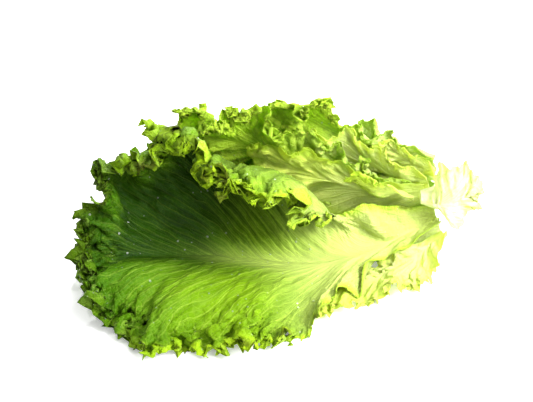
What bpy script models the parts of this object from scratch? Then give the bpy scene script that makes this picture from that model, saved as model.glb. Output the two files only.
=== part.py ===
"""A loose head of curly green lettuce, lying on its side as picked.

Metres, +Z up. The leaf tips point towards -X and the cut base towards +X. The origin is in the
middle of the head's footprint, at the level of the surface that it lies on.

Every leaf is one thin closed solid. Its surface is spanned by vein lines, which leave the rib at
a sharp angle and run out to the edge. The leaves are laid from the outermost to the innermost,
and each one is bent inwards just far enough to clear those that are already there.
"""
import math

import bmesh
import bpy
import numpy as np
from mathutils import Matrix
from mathutils.bvhtree import BVHTree

# Driving dimensions
BLADE = 0.0008
RIB_WIDTH = 0.0055
RIB_FADE = (0.05, 0.95)
LEAF_GAP = 0.0005

# A rib pressed on the surface below is squashed flat to this share of its own thickness
RIB_LEFT = 0.55

# Grid: distance between vein lines along the edge, and where points lie from rib (0) to edge (1)
EDGE_STEP = 0.0070
FRONT_EDGE_STEP = 0.0054
COLUMNS = (0.0, 0.14, 0.48, 0.80, 1.0)
FRONT_COLUMNS = (0.0, 0.08, 0.27, 0.50, 0.71, 0.88, 1.0)
RIB_SAMPLES = 120
RIB_SKIP = 4
CURVE_SAMPLES = 20
BASE_ROWS = 3

STEM_END_X = 0.136
STEM_INNER_X = 0.112
STEM_RADIUS = 0.0112
STEM_TIP_RADIUS = 0.005
STEM_SIDES = 20
STEM_RINGS = 5
STEM_FLARE = 1.3
STEM_SHADE = (0.80, 0.86, 0.60)

# The head's own axis, from the cut base to the tips, round which the leaves are wrapped
BASE_X, BASE_Y, BASE_Z = 0.13, 0.020, 0.040
TIP_X, TIP_Y, TIP_Z = -0.13, -0.035, 0.085

# Frills: length of a wave along the edge, its height at the edge, how far in it reaches
FRILLS = ((0.064, 0.0080, 0.050), (0.029, 0.0070, 0.022))

# A slow drift keeps the waves uneven: its size, its length in waves, and its own start
DRIFT, DRIFT_LENGTH, DRIFT_START = 0.9, 2.7, 1.7

# The waves leave the rib calm, and die away along the edge close to the leaf's base
RIB_CALM = 0.4
BASE_CALM = (0.72, 0.97)
NOTCH = 0.0022
NOTCH_LENGTH = 0.0205

# Where the surface is guided between the rib (0) and the edge (1)
WAIST, SHOULDER = 0.38, 0.72

# A vein runs up along the rib for a share of its way, then spreads out towards the edge
VEIN_LEAN, VEIN_SPREAD = 0.6, 0.3
VEIN_CROWDING = 1.2
TIP_CALM = 0.2

# Bending a leaf clear: one small step, the most steps, over how many points a push is handed on,
# the share that stays on the point itself, and how deep a crossing is looked for and pushed out
BEND_STEP = 0.0005
BEND_ROUNDS = 120
BEND_SPREAD = 4
BEND_OWN = 0.2
DEEPEST = 0.012
DEEP_SHARE = 0.8
DEEP_PUSH = 0.5

# Where a leaf's own faces would meet: rounds, reach of the cure, thinning and evening per round
UNTANGLE_ROUNDS = 60
UNTANGLE_REACH = 2.5
THIN_OUT = 0.3
EVEN_OUT = 0.3

ROUGHNESS = 0.45

# Each leaf: its rib from base to tip; its edge from the base round the tip to the base again;
# tip, which edge point is the tip; cup, how far it bellies away from the axis; depth of the rib
# at the base; frill, the strength of its waves; shift, where its waves start; shade, its colour.
# Some have more: guides, the waist and shoulder points at an edge point; edge_step and columns,
# a finer grid.
LEAVES = {
    "leaf_under_left": dict(
        rib=((0.129, 0.0230, 0.0115), (0.080, 0.012, 0.0035), (0.010, -0.004, 0.0022),
             (-0.060, -0.022, 0.0018), (-0.112, -0.038, 0.008)),
        edge=((0.130, 0.013, 0.013), (0.085, -0.008, 0.006), (0.035, -0.034, 0.004),
              (-0.030, -0.060, 0.004), (-0.085, -0.072, 0.005), (-0.121, -0.062, 0.009),
              (-0.132, -0.038, 0.014),
              (-0.122, -0.006, 0.016), (-0.085, 0.022, 0.010), (-0.030, 0.042, 0.006),
              (0.035, 0.048, 0.005), (0.085, 0.042, 0.006), (0.130, 0.033, 0.014)),
        tip=6, cup=0.0, depth=0.0030, frill=0.55, shift=0.4, shade=(0.05, 0.15, 0.01)),
    "leaf_under_right": dict(
        rib=((0.129, 0.003, 0.0200), (0.108, -0.012, 0.010), (0.075, -0.031, 0.005),
             (0.035, -0.050, 0.003), (0.004, -0.064, 0.003)),
        edge=((0.130, -0.003, 0.027), (0.124, -0.018, 0.015), (0.115, -0.033, 0.005),
              (0.092, -0.048, 0.004), (0.058, -0.064, 0.004), (0.022, -0.080, 0.003),
              (-0.008, -0.074, 0.003),
              (-0.002, -0.060, 0.003), (0.030, -0.045, 0.005), (0.070, -0.022, 0.008),
              (0.105, -0.002, 0.012), (0.129, 0.011, 0.017)),
        tip=6, cup=0.0, depth=0.0030, frill=0.5, shift=1.9, shade=(0.52, 0.66, 0.12)),
    "leaf_back_low": dict(
        rib=((0.128, 0.0414, 0.0275), (0.090, 0.062, 0.015), (0.030, 0.076, 0.012),
             (-0.035, 0.078, 0.018), (-0.078, 0.070, 0.032)),
        edge=((0.129, 0.036, 0.020), (0.085, 0.048, 0.014), (0.035, 0.052, 0.013),
              (-0.025, 0.048, 0.013), (-0.075, 0.040, 0.018), (-0.098, 0.050, 0.032),
              (-0.096, 0.066, 0.048),
              (-0.066, 0.082, 0.054), (-0.020, 0.096, 0.046), (0.035, 0.098, 0.042),
              (0.080, 0.086, 0.038), (0.126, 0.046, 0.036)),
        tip=6, cup=0.012, depth=0.0036, frill=0.9, shift=2.7, shade=(0.10, 0.24, 0.03)),
    "leaf_back_high": dict(
        rib=((0.126, 0.044, 0.0465), (0.085, 0.064, 0.044), (0.030, 0.078, 0.050),
             (-0.025, 0.074, 0.060), (-0.064, 0.060, 0.069)),
        edge=((0.127, 0.0440, 0.039), (0.085, 0.070, 0.030), (0.030, 0.086, 0.028),
              (-0.030, 0.084, 0.036), (-0.072, 0.070, 0.050), (-0.090, 0.060, 0.064),
              (-0.088, 0.050, 0.072),
              (-0.062, 0.045, 0.082), (-0.018, 0.053, 0.088), (0.035, 0.064, 0.080),
              (0.085, 0.056, 0.068), (0.124, 0.0405, 0.056)),
        tip=6, cup=0.008, depth=0.0036, frill=0.9, shift=0.9, shade=(0.07, 0.20, 0.02)),
    "leaf_top": dict(
        rib=((0.123, 0.0355, 0.0630), (0.090, 0.050, 0.064), (0.058, 0.058, 0.074),
             (0.036, 0.057, 0.086), (0.026, 0.050, 0.097)),
        edge=((0.124, 0.0405, 0.057), (0.088, 0.056, 0.054), (0.048, 0.064, 0.060),
              (0.014, 0.066, 0.078), (0.000, 0.057, 0.092), (0.008, 0.046, 0.102),
              (0.024, 0.040, 0.107),
              (0.042, 0.042, 0.100), (0.054, 0.047, 0.090), (0.068, 0.048, 0.084),
              (0.094, 0.042, 0.073), (0.121, 0.028, 0.0685)),
        tip=6, cup=0.002, depth=0.0030, frill=0.75, shift=3.3, shade=(0.03, 0.14, 0.01)),
    "leaf_back_right_far": dict(
        rib=((0.1200, 0.0065, 0.0420), (0.131, 0.0050, 0.0450), (0.142, 0.0055, 0.0490),
             (0.1505, 0.0075, 0.0520)),
        edge=((0.1190, 0.0085, 0.0490), (0.1210, 0.0115, 0.0590), (0.1275, 0.0160, 0.0715),
              (0.1345, 0.0130, 0.0700), (0.1420, 0.0150, 0.0740), (0.1470, 0.0105, 0.0665),
              (0.1540, 0.0115, 0.0640), (0.1520, 0.0070, 0.0530), (0.1540, 0.0045, 0.0425),
              (0.1465, 0.0035, 0.0360), (0.1425, 0.0000, 0.0270), (0.1365, 0.0015, 0.0300),
              (0.1265, 0.0045, 0.0365)),
        tip=7, cup=0.002, depth=0.0020, frill=0.6, shift=4.2, shade=(0.80, 0.88, 0.45)),
    "leaf_back_right_mid": dict(
        rib=((0.123, 0.0337, 0.053), (0.112, 0.040, 0.056), (0.100, 0.045, 0.062),
             (0.088, 0.047, 0.068)),
        edge=((0.124, 0.0360, 0.0470), (0.112, 0.044, 0.047), (0.096, 0.050, 0.050),
              (0.080, 0.052, 0.062), (0.076, 0.048, 0.075), (0.088, 0.044, 0.078),
              (0.100, 0.041, 0.073), (0.112, 0.036, 0.069), (0.121, 0.0290, 0.0580)),
        tip=4, cup=0.001, depth=0.0022, frill=0.5, shift=5.0, shade=(0.66, 0.80, 0.26)),
    "leaf_back_right_near": dict(
        rib=((0.120, 0.0341, 0.0432), (0.098, 0.041, 0.045), (0.072, 0.047, 0.052),
             (0.046, 0.049, 0.064), (0.034, 0.047, 0.071)),
        edge=((0.121, 0.0330, 0.0365), (0.096, 0.045, 0.035), (0.066, 0.054, 0.038),
              (0.036, 0.057, 0.052), (0.020, 0.052, 0.070), (0.034, 0.044, 0.082),
              (0.058, 0.041, 0.080), (0.080, 0.037, 0.071), (0.098, 0.035, 0.063),
              (0.117, 0.0320, 0.0500)),
        tip=4, cup=0.003, depth=0.0022, frill=0.6, shift=0.2, shade=(0.58, 0.76, 0.18)),
    "leaf_mid": dict(
        rib=((0.121, 0.0283, 0.0312), (0.080, 0.037, 0.034), (0.030, 0.044, 0.048),
             (-0.015, 0.046, 0.070), (-0.040, 0.040, 0.087)),
        edge=((0.122, 0.0216, 0.0273), (0.080, 0.034, 0.022), (0.025, 0.048, 0.026),
              (-0.030, 0.052, 0.044), (-0.062, 0.041, 0.074), (-0.068, 0.030, 0.090),
              (-0.056, 0.026, 0.100),
              (-0.034, 0.031, 0.105), (-0.008, 0.035, 0.101), (0.018, 0.034, 0.090),
              (0.045, 0.034, 0.074), (0.080, 0.033, 0.058), (0.119, 0.0318, 0.0370)),
        tip=6, cup=0.004, depth=0.0024, frill=0.85, shift=1.3, shade=(0.34, 0.54, 0.09)),
    "leaf_heart_large": dict(
        rib=((0.118, 0.0296, 0.0390), (0.088, 0.030, 0.038), (0.046, 0.034, 0.046),
             (0.012, 0.036, 0.060), (-0.002, 0.034, 0.067)),
        edge=((0.119, 0.0262, 0.0330), (0.090, 0.027, 0.026), (0.050, 0.033, 0.026),
              (0.012, 0.038, 0.040), (-0.010, 0.037, 0.060), (-0.014, 0.033, 0.072),
              (0.004, 0.031, 0.078), (0.030, 0.031, 0.073), (0.058, 0.029, 0.062),
              (0.088, 0.027, 0.051), (0.116, 0.0290, 0.0455)),
        tip=5, cup=0.002, depth=0.0024, frill=0.4, shift=2.2, shade=(0.70, 0.82, 0.26)),
    "leaf_heart_small": dict(
        rib=((0.107, 0.018, 0.040), (0.096, 0.020, 0.044), (0.080, 0.021, 0.050),
             (0.064, 0.016, 0.056)),
        edge=((0.108, 0.022, 0.036), (0.094, 0.026, 0.039), (0.074, 0.025, 0.046),
              (0.057, 0.018, 0.058), (0.066, 0.010, 0.061), (0.084, 0.010, 0.056),
              (0.098, 0.011, 0.049), (0.107, 0.014, 0.044)),
        tip=3, cup=0.001, depth=0.0018, frill=0.35, shift=3.9, shade=(0.84, 0.90, 0.42)),
    "leaf_front": dict(
        rib=((0.126, 0.0170, 0.0250), (0.098, 0.003, 0.017), (0.060, -0.021, 0.014),
             (0.024, -0.027, 0.013), (-0.012, -0.025, 0.015), (-0.047, -0.024, 0.018),
             (-0.082, -0.028, 0.022), (-0.110, -0.038, 0.031)),
        edge=((0.128, 0.0060, 0.0300), (0.103, -0.011, 0.021), (0.075, -0.033, 0.015),
              (0.050, -0.064, 0.011), (0.014, -0.100, 0.007), (-0.034, -0.113, 0.004),
              (-0.082, -0.110, 0.005), (-0.112, -0.080, 0.012), (-0.126, -0.058, 0.032),
              (-0.128, -0.042, 0.040),
              (-0.128, -0.019, 0.056), (-0.112, -0.002, 0.072), (-0.085, 0.002, 0.089),
              (-0.042, -0.016, 0.088), (-0.003, -0.032, 0.071), (0.034, -0.019, 0.047),
              (0.060, 0.006, 0.0405), (0.090, 0.0165, 0.0355), (0.125, 0.0230, 0.0265)),
        guides={5: ((-0.014, -0.058, 0.020), (-0.025, -0.090, 0.018)),
                6: ((-0.053, -0.056, 0.026), (-0.071, -0.088, 0.024)),
                7: ((-0.084, -0.047, 0.032), (-0.100, -0.066, 0.032)),
                10: ((-0.116, -0.020, 0.036), (-0.126, -0.016, 0.046)),
                11: ((-0.090, -0.002, 0.036), (-0.106, 0.006, 0.056)),
                12: ((-0.050, 0.012, 0.040), (-0.074, 0.020, 0.070)),
                13: ((-0.012, 0.018, 0.042), (-0.034, 0.018, 0.077)),
                14: ((0.026, 0.008, 0.034), (0.006, 0.013, 0.065)),
                15: ((0.062, 0.002, 0.024), (0.048, 0.004, 0.040))},
        tip=9, cup=0.004, depth=0.0046, frill=1.0, shift=2.1, edge_step=FRONT_EDGE_STEP,
        columns=FRONT_COLUMNS, shade=(0.30, 0.50, 0.06)),
}


def spline(knots, points, at):
    """Points on the natural cubic curve that passes through the given points at the knots."""
    knots = np.asarray(knots, float)
    points = np.asarray(points, float)
    at = np.asarray(at, float)
    last = len(knots) - 1
    gap = np.diff(knots)
    matrix = np.eye(last + 1)
    right = np.zeros_like(points)
    for k in range(1, last):
        matrix[k, k - 1:k + 2] = gap[k - 1], 2 * (gap[k - 1] + gap[k]), gap[k]
        slope = (points[k] - points[k - 1]) / gap[k - 1]
        right[k] = 6 * ((points[k + 1] - points[k]) / gap[k] - slope)
    bend = np.linalg.solve(matrix, right)
    k = np.clip(np.searchsorted(knots, at, side="right") - 1, 0, last - 1)
    step = gap[k][:, None]
    before = (knots[k + 1] - at)[:, None]
    after = (at - knots[k])[:, None]
    curve = (bend[k] * before ** 3 + bend[k + 1] * after ** 3) / (6 * step)
    curve += (points[k] / step - bend[k] * step / 6) * before
    return curve + (points[k + 1] / step - bend[k + 1] * step / 6) * after


def lengths(points):
    """How far along the line each of its points lies."""
    steps = np.linalg.norm(np.diff(points, axis=0), axis=1)
    return np.concatenate(([0.0], np.cumsum(steps)))


def even_curve(points, count):
    """A smooth curve through the points, read at even steps of its length."""
    points = np.asarray(points, float)
    knots = lengths(points)
    fine = spline(knots, points, np.linspace(0.0, knots[-1], CURVE_SAMPLES * count))
    run = lengths(fine)
    at = np.linspace(0.0, run[-1], count)
    return np.stack([np.interp(at, run, fine[:, axis]) for axis in range(3)], axis=1)


def along(curve, share):
    """The points of an even curve at the given shares of its length."""
    place = np.clip(share, 0.0, 1.0) * (len(curve) - 1)
    steps = np.arange(len(curve))
    return np.stack([np.interp(place, steps, curve[:, axis]) for axis in range(3)], axis=-1)


def axis_at(x):
    """Height and depth of the head's axis at x."""
    share = (BASE_X - x) / (BASE_X - TIP_X)
    return BASE_Y + share * (TIP_Y - BASE_Y), BASE_Z + share * (TIP_Z - BASE_Z)


def to_head(points):
    """Turn (0 is down, a quarter is the back) and distance from the head's axis."""
    axis_y, axis_z = axis_at(points[..., 0])
    back = points[..., 1] - axis_y
    up = points[..., 2] - axis_z
    return np.arctan2(back, -up), np.hypot(back, up)


def from_head(points, distance):
    """The points moved straight towards or away from the axis, to the given distance."""
    axis_y, axis_z = axis_at(points[..., 0])
    turn = to_head(points)[0]
    back = axis_y + distance * np.sin(turn)
    up = axis_z - distance * np.cos(turn)
    return np.stack([points[..., 0], back, up], axis=-1)


def smooth_step(low, high, value):
    """0 below low, 1 above high, and a soft rise between."""
    share = np.clip((value - low) / (high - low), 0.0, 1.0)
    return share * share * (3 - 2 * share)


def leaf_guides(leaf, rib):
    """The edge's own guide points with the waist and shoulder points of their vein lines."""
    edge = np.asarray(leaf["edge"], float)
    knots = lengths(edge)
    tip = leaf["tip"]
    reach = np.where(np.arange(len(edge)) <= tip, knots[tip], knots[-1] - knots[tip])
    side = (knots - knots[tip]) / reach
    start = along(rib, rib_share(side))
    guides = []
    for k, corner in enumerate(edge):
        if k in leaf.get("guides", {}):
            guides.append(leaf["guides"][k])
            continue
        foot = np.argmin(np.linalg.norm(rib - corner, axis=1)) / (len(rib) - 1)
        first = rib_share(side[k])
        pull = along(rib, first + VEIN_LEAN * max(foot - first, 0.0))
        pull = pull + VEIN_SPREAD * (corner - pull)
        turn, distance = to_head(pull)
        pull = from_head(pull, distance + leaf["cup"])
        own = []
        for s in (WAIST, SHOULDER):
            own.append((1 - s) ** 2 * start[k] + 2 * s * (1 - s) * pull + s * s * corner)
        guides.append(own)
    return side, np.asarray(guides, float), edge


def rib_share(side):
    """How far up the rib the vein line starts that ends at this place on the edge."""
    return (1.0 - np.abs(side)) ** VEIN_CROWDING


def leaf_lines(leaf, rows, columns):
    """The leaf's middle surface as a grid: vein lines one way, and steps from rib to edge the other."""
    rib = even_curve(leaf["rib"], RIB_SAMPLES)
    guide_side, guides, edge = leaf_guides(leaf, rib)
    side = np.linspace(-1.0, 1.0, 2 * rows + 1)
    start = along(rib, rib_share(side))
    rim = spline(guide_side, edge, side)
    calm = smooth_step(0.0, TIP_CALM, np.abs(side))[:, None]
    between = []
    for k, share in enumerate((WAIST, SHOULDER)):
        straight = (1 - share) * along(rib, rib_share(guide_side)) + share * edge
        swing = spline(guide_side, guides[:, k] - straight, side) * calm
        between.append((1 - share) * start + share * rim + swing)
    waist, shoulder = between
    stops = (0.0, WAIST, SHOULDER, 1.0)
    grid = np.zeros((len(side), len(columns), 3))
    for own, points in zip(stops, (start, waist, shoulder, rim)):
        weight = np.ones(len(columns))
        for other in stops:
            if other != own:
                weight *= (np.asarray(columns) - other) / (own - other)
        grid += weight[None, :, None] * points[:, None, :]
    return rib, side, grid


def surface_normals(grid):
    """Unit normals of the grid, the same on both sides of the rib."""
    down = np.gradient(grid, axis=0)
    across = np.gradient(grid, axis=1)
    normals = np.cross(down, across)
    normals /= np.maximum(np.linalg.norm(normals, axis=-1, keepdims=True), 1e-12)
    normals[:, 0] = normals[:, 0] + normals[::-1, 0]
    normals[len(grid) // 2, 0] = normals[len(grid) // 2, 1]
    size = np.linalg.norm(normals, axis=-1, keepdims=True)
    return normals / np.maximum(size, 1e-12)


def add_frills(leaf, grid, side, columns):
    """Waves that grow towards the edge, with notches in the edge itself."""
    normals = surface_normals(grid)
    rim_run = lengths(grid[:, -1])
    line_steps = np.linalg.norm(np.diff(grid, axis=1), axis=-1)
    to_rim = np.cumsum(line_steps[:, ::-1], axis=1)[:, ::-1]
    inward = np.concatenate([to_rim, np.zeros((len(side), 1))], axis=1)
    calm = leaf["frill"] * (1.0 - smooth_step(*BASE_CALM, np.abs(side)))
    lift = np.zeros(grid.shape[:2])
    for order, (wave, height, reach) in enumerate(FRILLS):
        slow = 2 * math.pi * rim_run / (DRIFT_LENGTH * wave)
        drift = DRIFT * np.sin(slow + DRIFT_START * leaf["shift"])
        phase = 2 * math.pi * rim_run / wave + drift + leaf["shift"] * (1 + order)
        lift += (height * calm * np.sin(phase))[:, None] * np.exp(-(inward / reach) ** 2)
    outward = grid[:, -1] - grid[:, -2]
    outward /= np.maximum(np.linalg.norm(outward, axis=-1, keepdims=True), 1e-9)
    notch = NOTCH * calm * np.sin(2 * math.pi * rim_run / NOTCH_LENGTH + 3 * leaf["shift"])
    lift *= smooth_step(0.0, RIB_CALM, np.asarray(columns))
    grid = grid + lift[..., None] * normals
    grid[:, -1] += notch[:, None] * outward
    return grid


def thickness(leaf, grid, rib):
    """Blade thickness, with the rib's extra depth close to the rib, fading towards the tip."""
    marks = rib[::RIB_SKIP]
    apart = np.linalg.norm(grid[:, :, None, :] - marks[None, None], axis=-1)
    nearest = apart.min(axis=-1)
    up = apart.argmin(axis=-1) / (len(marks) - 1)
    depth = leaf["depth"] * (1.0 - smooth_step(*RIB_FADE, up))
    return BLADE + depth * np.exp(-(nearest / RIB_WIDTH) ** 2)


def leaf_faces(grid, thick, clear=0.0):
    """The inner and the outer face of a leaf, each moved off by the clearance."""
    out = -surface_normals(grid)
    return grid - out * clear, grid + out * (thick[..., None] + clear)


def leaf_triangles(rows, columns):
    """The triangles of a leaf's two faces and its rim, as indices into inner then outer points."""
    def at(i, j):
        return (rows - 1 - i) * columns if j == 0 and i > rows // 2 else i * columns + j

    skin = []
    for i in range(rows - 1):
        for j in range(columns - 1):
            corners = at(i, j), at(i + 1, j), at(i + 1, j + 1), at(i, j + 1)
            if (i < rows // 2) == (j % 2 == 1):
                skin += [(corners[0], corners[1], corners[2]), (corners[0], corners[2], corners[3])]
            else:
                skin += [(corners[0], corners[1], corners[3]), (corners[1], corners[2], corners[3])]
    rim = [at(i, columns - 1) for i in range(rows)]
    rim += [at(rows - 1, j) for j in range(columns - 2, -1, -1)]
    rim += [at(0, j) for j in range(1, columns)]
    other = rows * columns
    wall = []
    for one, two in zip(rim, rim[1:]):
        wall += [(one, two, two + other), (one, two + other, one + other)]
    return skin + [tuple(k + other for k in reversed(tri)) for tri in skin] + wall


def spread(push, rounds):
    """The push handed on softly to the neighbouring points of the grid."""
    for _ in range(rounds):
        padded = np.pad(push, ((1, 1), (1, 1), (0, 0)), mode="edge")
        beside = padded[:-2, 1:-1] + padded[2:, 1:-1] + padded[1:-1, :-2] + padded[1:-1, 2:]
        push = (2 * push + beside) / 6
    return push


def untangle(grid, thick):
    """The leaf thinned and evened out wherever its own two faces would run through each other."""
    rows, columns = grid.shape[:2]
    triangles = leaf_triangles(rows, columns)
    for _ in range(UNTANGLE_ROUNDS):
        inner, outer = leaf_faces(grid, thick)
        points = np.concatenate([inner.reshape(-1, 3), outer.reshape(-1, 3)])
        tree = BVHTree.FromPolygons(points.tolist(), triangles)
        tight = np.zeros((rows, columns))
        for one, two in tree.overlap(tree):
            if one < two and not set(triangles[one]) & set(triangles[two]):
                for corner in triangles[one] + triangles[two]:
                    tight[divmod(corner % (rows * columns), columns)] = 1.0
        if not tight.any():
            break
        tight[:, 0] = np.maximum(tight[:, 0], tight[::-1, 0])
        tight = np.clip(UNTANGLE_REACH * spread(tight[..., None], 2), 0.0, 1.0)
        thick = BLADE + (thick - BLADE) * (1.0 - THIN_OUT * tight[..., 0])
        whole = np.concatenate([grid[::-1, 1:2], grid], axis=1)
        even = spread(whole, 1)[:, 1:]
        grid = grid + EVEN_OUT * tight * (even - grid)
        grid[:, 0] = (grid[:, 0] + grid[::-1, 0]) / 2
    return grid, thick


def bend_clear(grid, thick, laid):
    """The leaf bent inwards, little by little, until it clears the floor and every leaf laid before."""
    rows, columns = grid.shape[:2]
    triangles = leaf_triangles(rows, columns)
    bend = np.zeros_like(grid)
    lowest = np.maximum(BLADE, RIB_LEFT * thick)
    for _ in range(BEND_ROUNDS):
        bent = grid + bend
        bent[..., 2] = np.maximum(bent[..., 2], lowest)
        inner, outer = leaf_faces(bent, thick, LEAF_GAP)
        points = np.concatenate([inner.reshape(-1, 3), outer.reshape(-1, 3)])
        tree = BVHTree.FromPolygons(points.tolist(), triangles)
        push = np.zeros_like(grid)
        deep = np.zeros_like(grid)
        for other_tree, inward, edge_face in laid:
            for face, other in tree.overlap(other_tree):
                for corner in triangles[face]:
                    push[divmod(corner % (rows * columns), columns)] += inward[other]
            for place in np.ndindex(rows, columns):
                spot, _, other, apart = other_tree.find_nearest(bent[place].tolist(), DEEPEST)
                if spot is None or edge_face[other]:
                    continue
                depth = -float(np.dot(bent[place] - np.array(spot), inward[other]))
                if depth > DEEP_SHARE * apart:
                    deep[place] += inward[other] * depth
        size = np.linalg.norm(push, axis=-1, keepdims=True)
        if not size.any() and not deep.any():
            break
        push = push * BEND_STEP / np.maximum(size, 1e-9) + DEEP_PUSH * deep
        push[:, 0] = (push[:, 0] + push[::-1, 0]) / 2
        bend += BEND_OWN * push + spread(push, BEND_SPREAD)
        bend[:, 0] = (bend[:, 0] + bend[::-1, 0]) / 2
    bent = grid + bend
    bent[..., 2] = np.maximum(bent[..., 2], lowest)
    return bent


def shape_leaf(leaf, laid):
    """The leaf's two faces, bent clear of the floor and of the leaves outside it."""
    columns = leaf.get("columns", COLUMNS)
    run = lengths(np.asarray(leaf["edge"], float))[-1]
    rows = int(round(run / leaf.get("edge_step", EDGE_STEP) / 2))
    rib, side, grid = leaf_lines(leaf, rows, columns)
    grid = add_frills(leaf, grid, side, columns)
    thick = thickness(leaf, grid, rib)
    grid, thick = untangle(grid, thick)
    grid = bend_clear(grid, thick, laid)
    grid, thick = untangle(grid, thick)
    inner, outer = leaf_faces(grid, thick)
    outer[..., 2] = np.maximum(outer[..., 2], 0.0)
    points = np.concatenate([inner.reshape(-1, 3), outer.reshape(-1, 3)])
    triangles = leaf_triangles(2 * rows + 1, len(columns))
    inward = surface_normals(grid).reshape(-1, 3)
    inward = np.concatenate([inward, inward])[np.array(triangles)].mean(axis=1)
    on_edge = np.zeros((2 * rows + 1, len(columns)), bool)
    on_edge[:, -1] = True
    on_edge[:BASE_ROWS] = True
    on_edge[-BASE_ROWS:] = True
    on_edge = np.concatenate([on_edge.ravel(), on_edge.ravel()])
    edge_face = on_edge[np.array(triangles)].any(axis=1)
    laid.append((BVHTree.FromPolygons(points.tolist(), triangles), inward, edge_face))
    return points, triangles


def leaf_solid(name, points, triangles):
    """One closed mesh from the leaf's two faces and its rim; both faces are cut alike."""
    mesh = bmesh.new()
    used = sorted({corner for triangle in triangles for corner in triangle})
    corners = {k: mesh.verts.new(points[k]) for k in used}
    for triangle in triangles:
        mesh.faces.new([corners[k] for k in triangle])
    bmesh.ops.recalc_face_normals(mesh, faces=mesh.faces)
    return finish_object(name, mesh)


def finish_object(name, mesh):
    """Put the finished mesh into the scene under its name, shaded smooth."""
    data = bpy.data.meshes.new(name)
    mesh.to_mesh(data)
    mesh.free()
    data.shade_smooth()
    thing = bpy.data.objects.new(name, data)
    bpy.context.scene.collection.objects.link(thing)
    return thing


def stem_solid():
    """The short core that the leaves grew on, cut off flat at the base."""
    mesh = bmesh.new()
    rings = []
    for share in np.linspace(0.0, 1.0, STEM_RINGS):
        x = STEM_END_X + share * (STEM_INNER_X - STEM_END_X)
        radius = STEM_RADIUS + share ** STEM_FLARE * (STEM_TIP_RADIUS - STEM_RADIUS)
        axis_y, axis_z = axis_at(x)
        ring = []
        for k in range(STEM_SIDES):
            turn = 2 * math.pi * k / STEM_SIDES
            back = axis_y + radius * math.sin(turn)
            ring.append(mesh.verts.new((x, back, axis_z - radius * math.cos(turn))))
        rings.append(ring)
    for near, far in zip(rings, rings[1:]):
        for k in range(STEM_SIDES):
            after = (k + 1) % STEM_SIDES
            mesh.faces.new((near[k], near[after], far[after], far[k]))
    mesh.faces.new(rings[0])
    mesh.faces.new(rings[-1])
    bmesh.ops.recalc_face_normals(mesh, faces=mesh.faces)
    return finish_object("stem", mesh)


def colour(thing, shade):
    """A plain moist surface of the given colour."""
    material = bpy.data.materials.new(thing.name)
    material.use_nodes = True
    shader = material.node_tree.nodes["Principled BSDF"]
    shader.inputs["Base Color"].default_value = (*shade, 1.0)
    shader.inputs["Roughness"].default_value = ROUGHNESS
    shader.inputs["Metallic"].default_value = 0.0
    thing.data.materials.append(material)


def centre_head():
    """Move every piece alike, so that the origin is in the middle of the head's footprint."""
    things = [thing for thing in bpy.data.objects if thing.type == "MESH"]
    spots = np.array([corner.co for thing in things for corner in thing.data.vertices])
    middle = (spots.min(axis=0) + spots.max(axis=0)) / 2
    for thing in things:
        thing.data.transform(Matrix.Translation((-middle[0], -middle[1], 0.0)))


def main():
    """Lay the leaves from the outermost to the innermost, then add the stem."""
    for thing in list(bpy.data.objects):
        bpy.data.objects.remove(thing)
    laid = []
    for name, leaf in LEAVES.items():
        points, triangles = shape_leaf(leaf, laid)
        colour(leaf_solid(name, points, triangles), leaf["shade"])
    colour(stem_solid(), STEM_SHADE)
    centre_head()


main()
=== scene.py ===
# %% [markdown]
# A loose head of curly green lettuce, lying on its side on a white surface. The plain solids
# of the part come in first and stay fixed: they say where every leaf is. The rest of the
# lesson grows each leaf again at a much finer step, so that the small frills, teeth and
# blisters which make a lettuce look crisp have points to bend.

# %% Load the fixed frame
import math

import bpy
import numpy as np
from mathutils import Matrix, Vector
from mathutils.bvhtree import BVHTree


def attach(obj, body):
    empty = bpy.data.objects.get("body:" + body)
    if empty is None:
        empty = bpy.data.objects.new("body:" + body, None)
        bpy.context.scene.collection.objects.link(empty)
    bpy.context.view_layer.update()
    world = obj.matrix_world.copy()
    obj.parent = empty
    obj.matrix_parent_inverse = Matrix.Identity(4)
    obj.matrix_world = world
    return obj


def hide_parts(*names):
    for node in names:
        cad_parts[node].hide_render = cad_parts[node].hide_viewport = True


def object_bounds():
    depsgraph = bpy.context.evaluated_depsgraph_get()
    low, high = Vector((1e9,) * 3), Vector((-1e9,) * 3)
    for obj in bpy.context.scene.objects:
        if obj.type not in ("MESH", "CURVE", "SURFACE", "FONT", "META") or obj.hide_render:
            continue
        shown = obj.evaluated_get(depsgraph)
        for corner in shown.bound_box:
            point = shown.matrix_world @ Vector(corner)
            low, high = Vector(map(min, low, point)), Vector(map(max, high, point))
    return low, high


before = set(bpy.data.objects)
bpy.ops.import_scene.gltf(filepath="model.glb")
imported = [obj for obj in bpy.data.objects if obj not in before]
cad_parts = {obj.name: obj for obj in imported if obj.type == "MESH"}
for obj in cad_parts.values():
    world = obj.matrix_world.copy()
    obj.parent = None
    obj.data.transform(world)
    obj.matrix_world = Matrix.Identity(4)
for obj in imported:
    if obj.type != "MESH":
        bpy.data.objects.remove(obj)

cad_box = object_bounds()
print("the head measures", [round(1000 * side) for side in cad_box[1] - cad_box[0]], "mm")

# %% [markdown]
# The leaves of the fixed solids are spanned by vein lines: each one leaves the rib at a sharp
# angle and runs out to the edge. The same guide points are used here, so that the fine leaf
# lies exactly where its solid lies. A set of guide points is a good way to make a natural
# thing, because each leaf of a real head is an individual.

# %% Guide points of every leaf
# Grid: distance between vein lines along the edge, and where points lie from rib (0) to edge (1)
EDGE_STEP, FRONT_EDGE_STEP = 0.0070, 0.0054
COLUMNS = (0.0, 0.14, 0.48, 0.80, 1.0)
FRONT_COLUMNS = (0.0, 0.08, 0.27, 0.50, 0.71, 0.88, 1.0)

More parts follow.
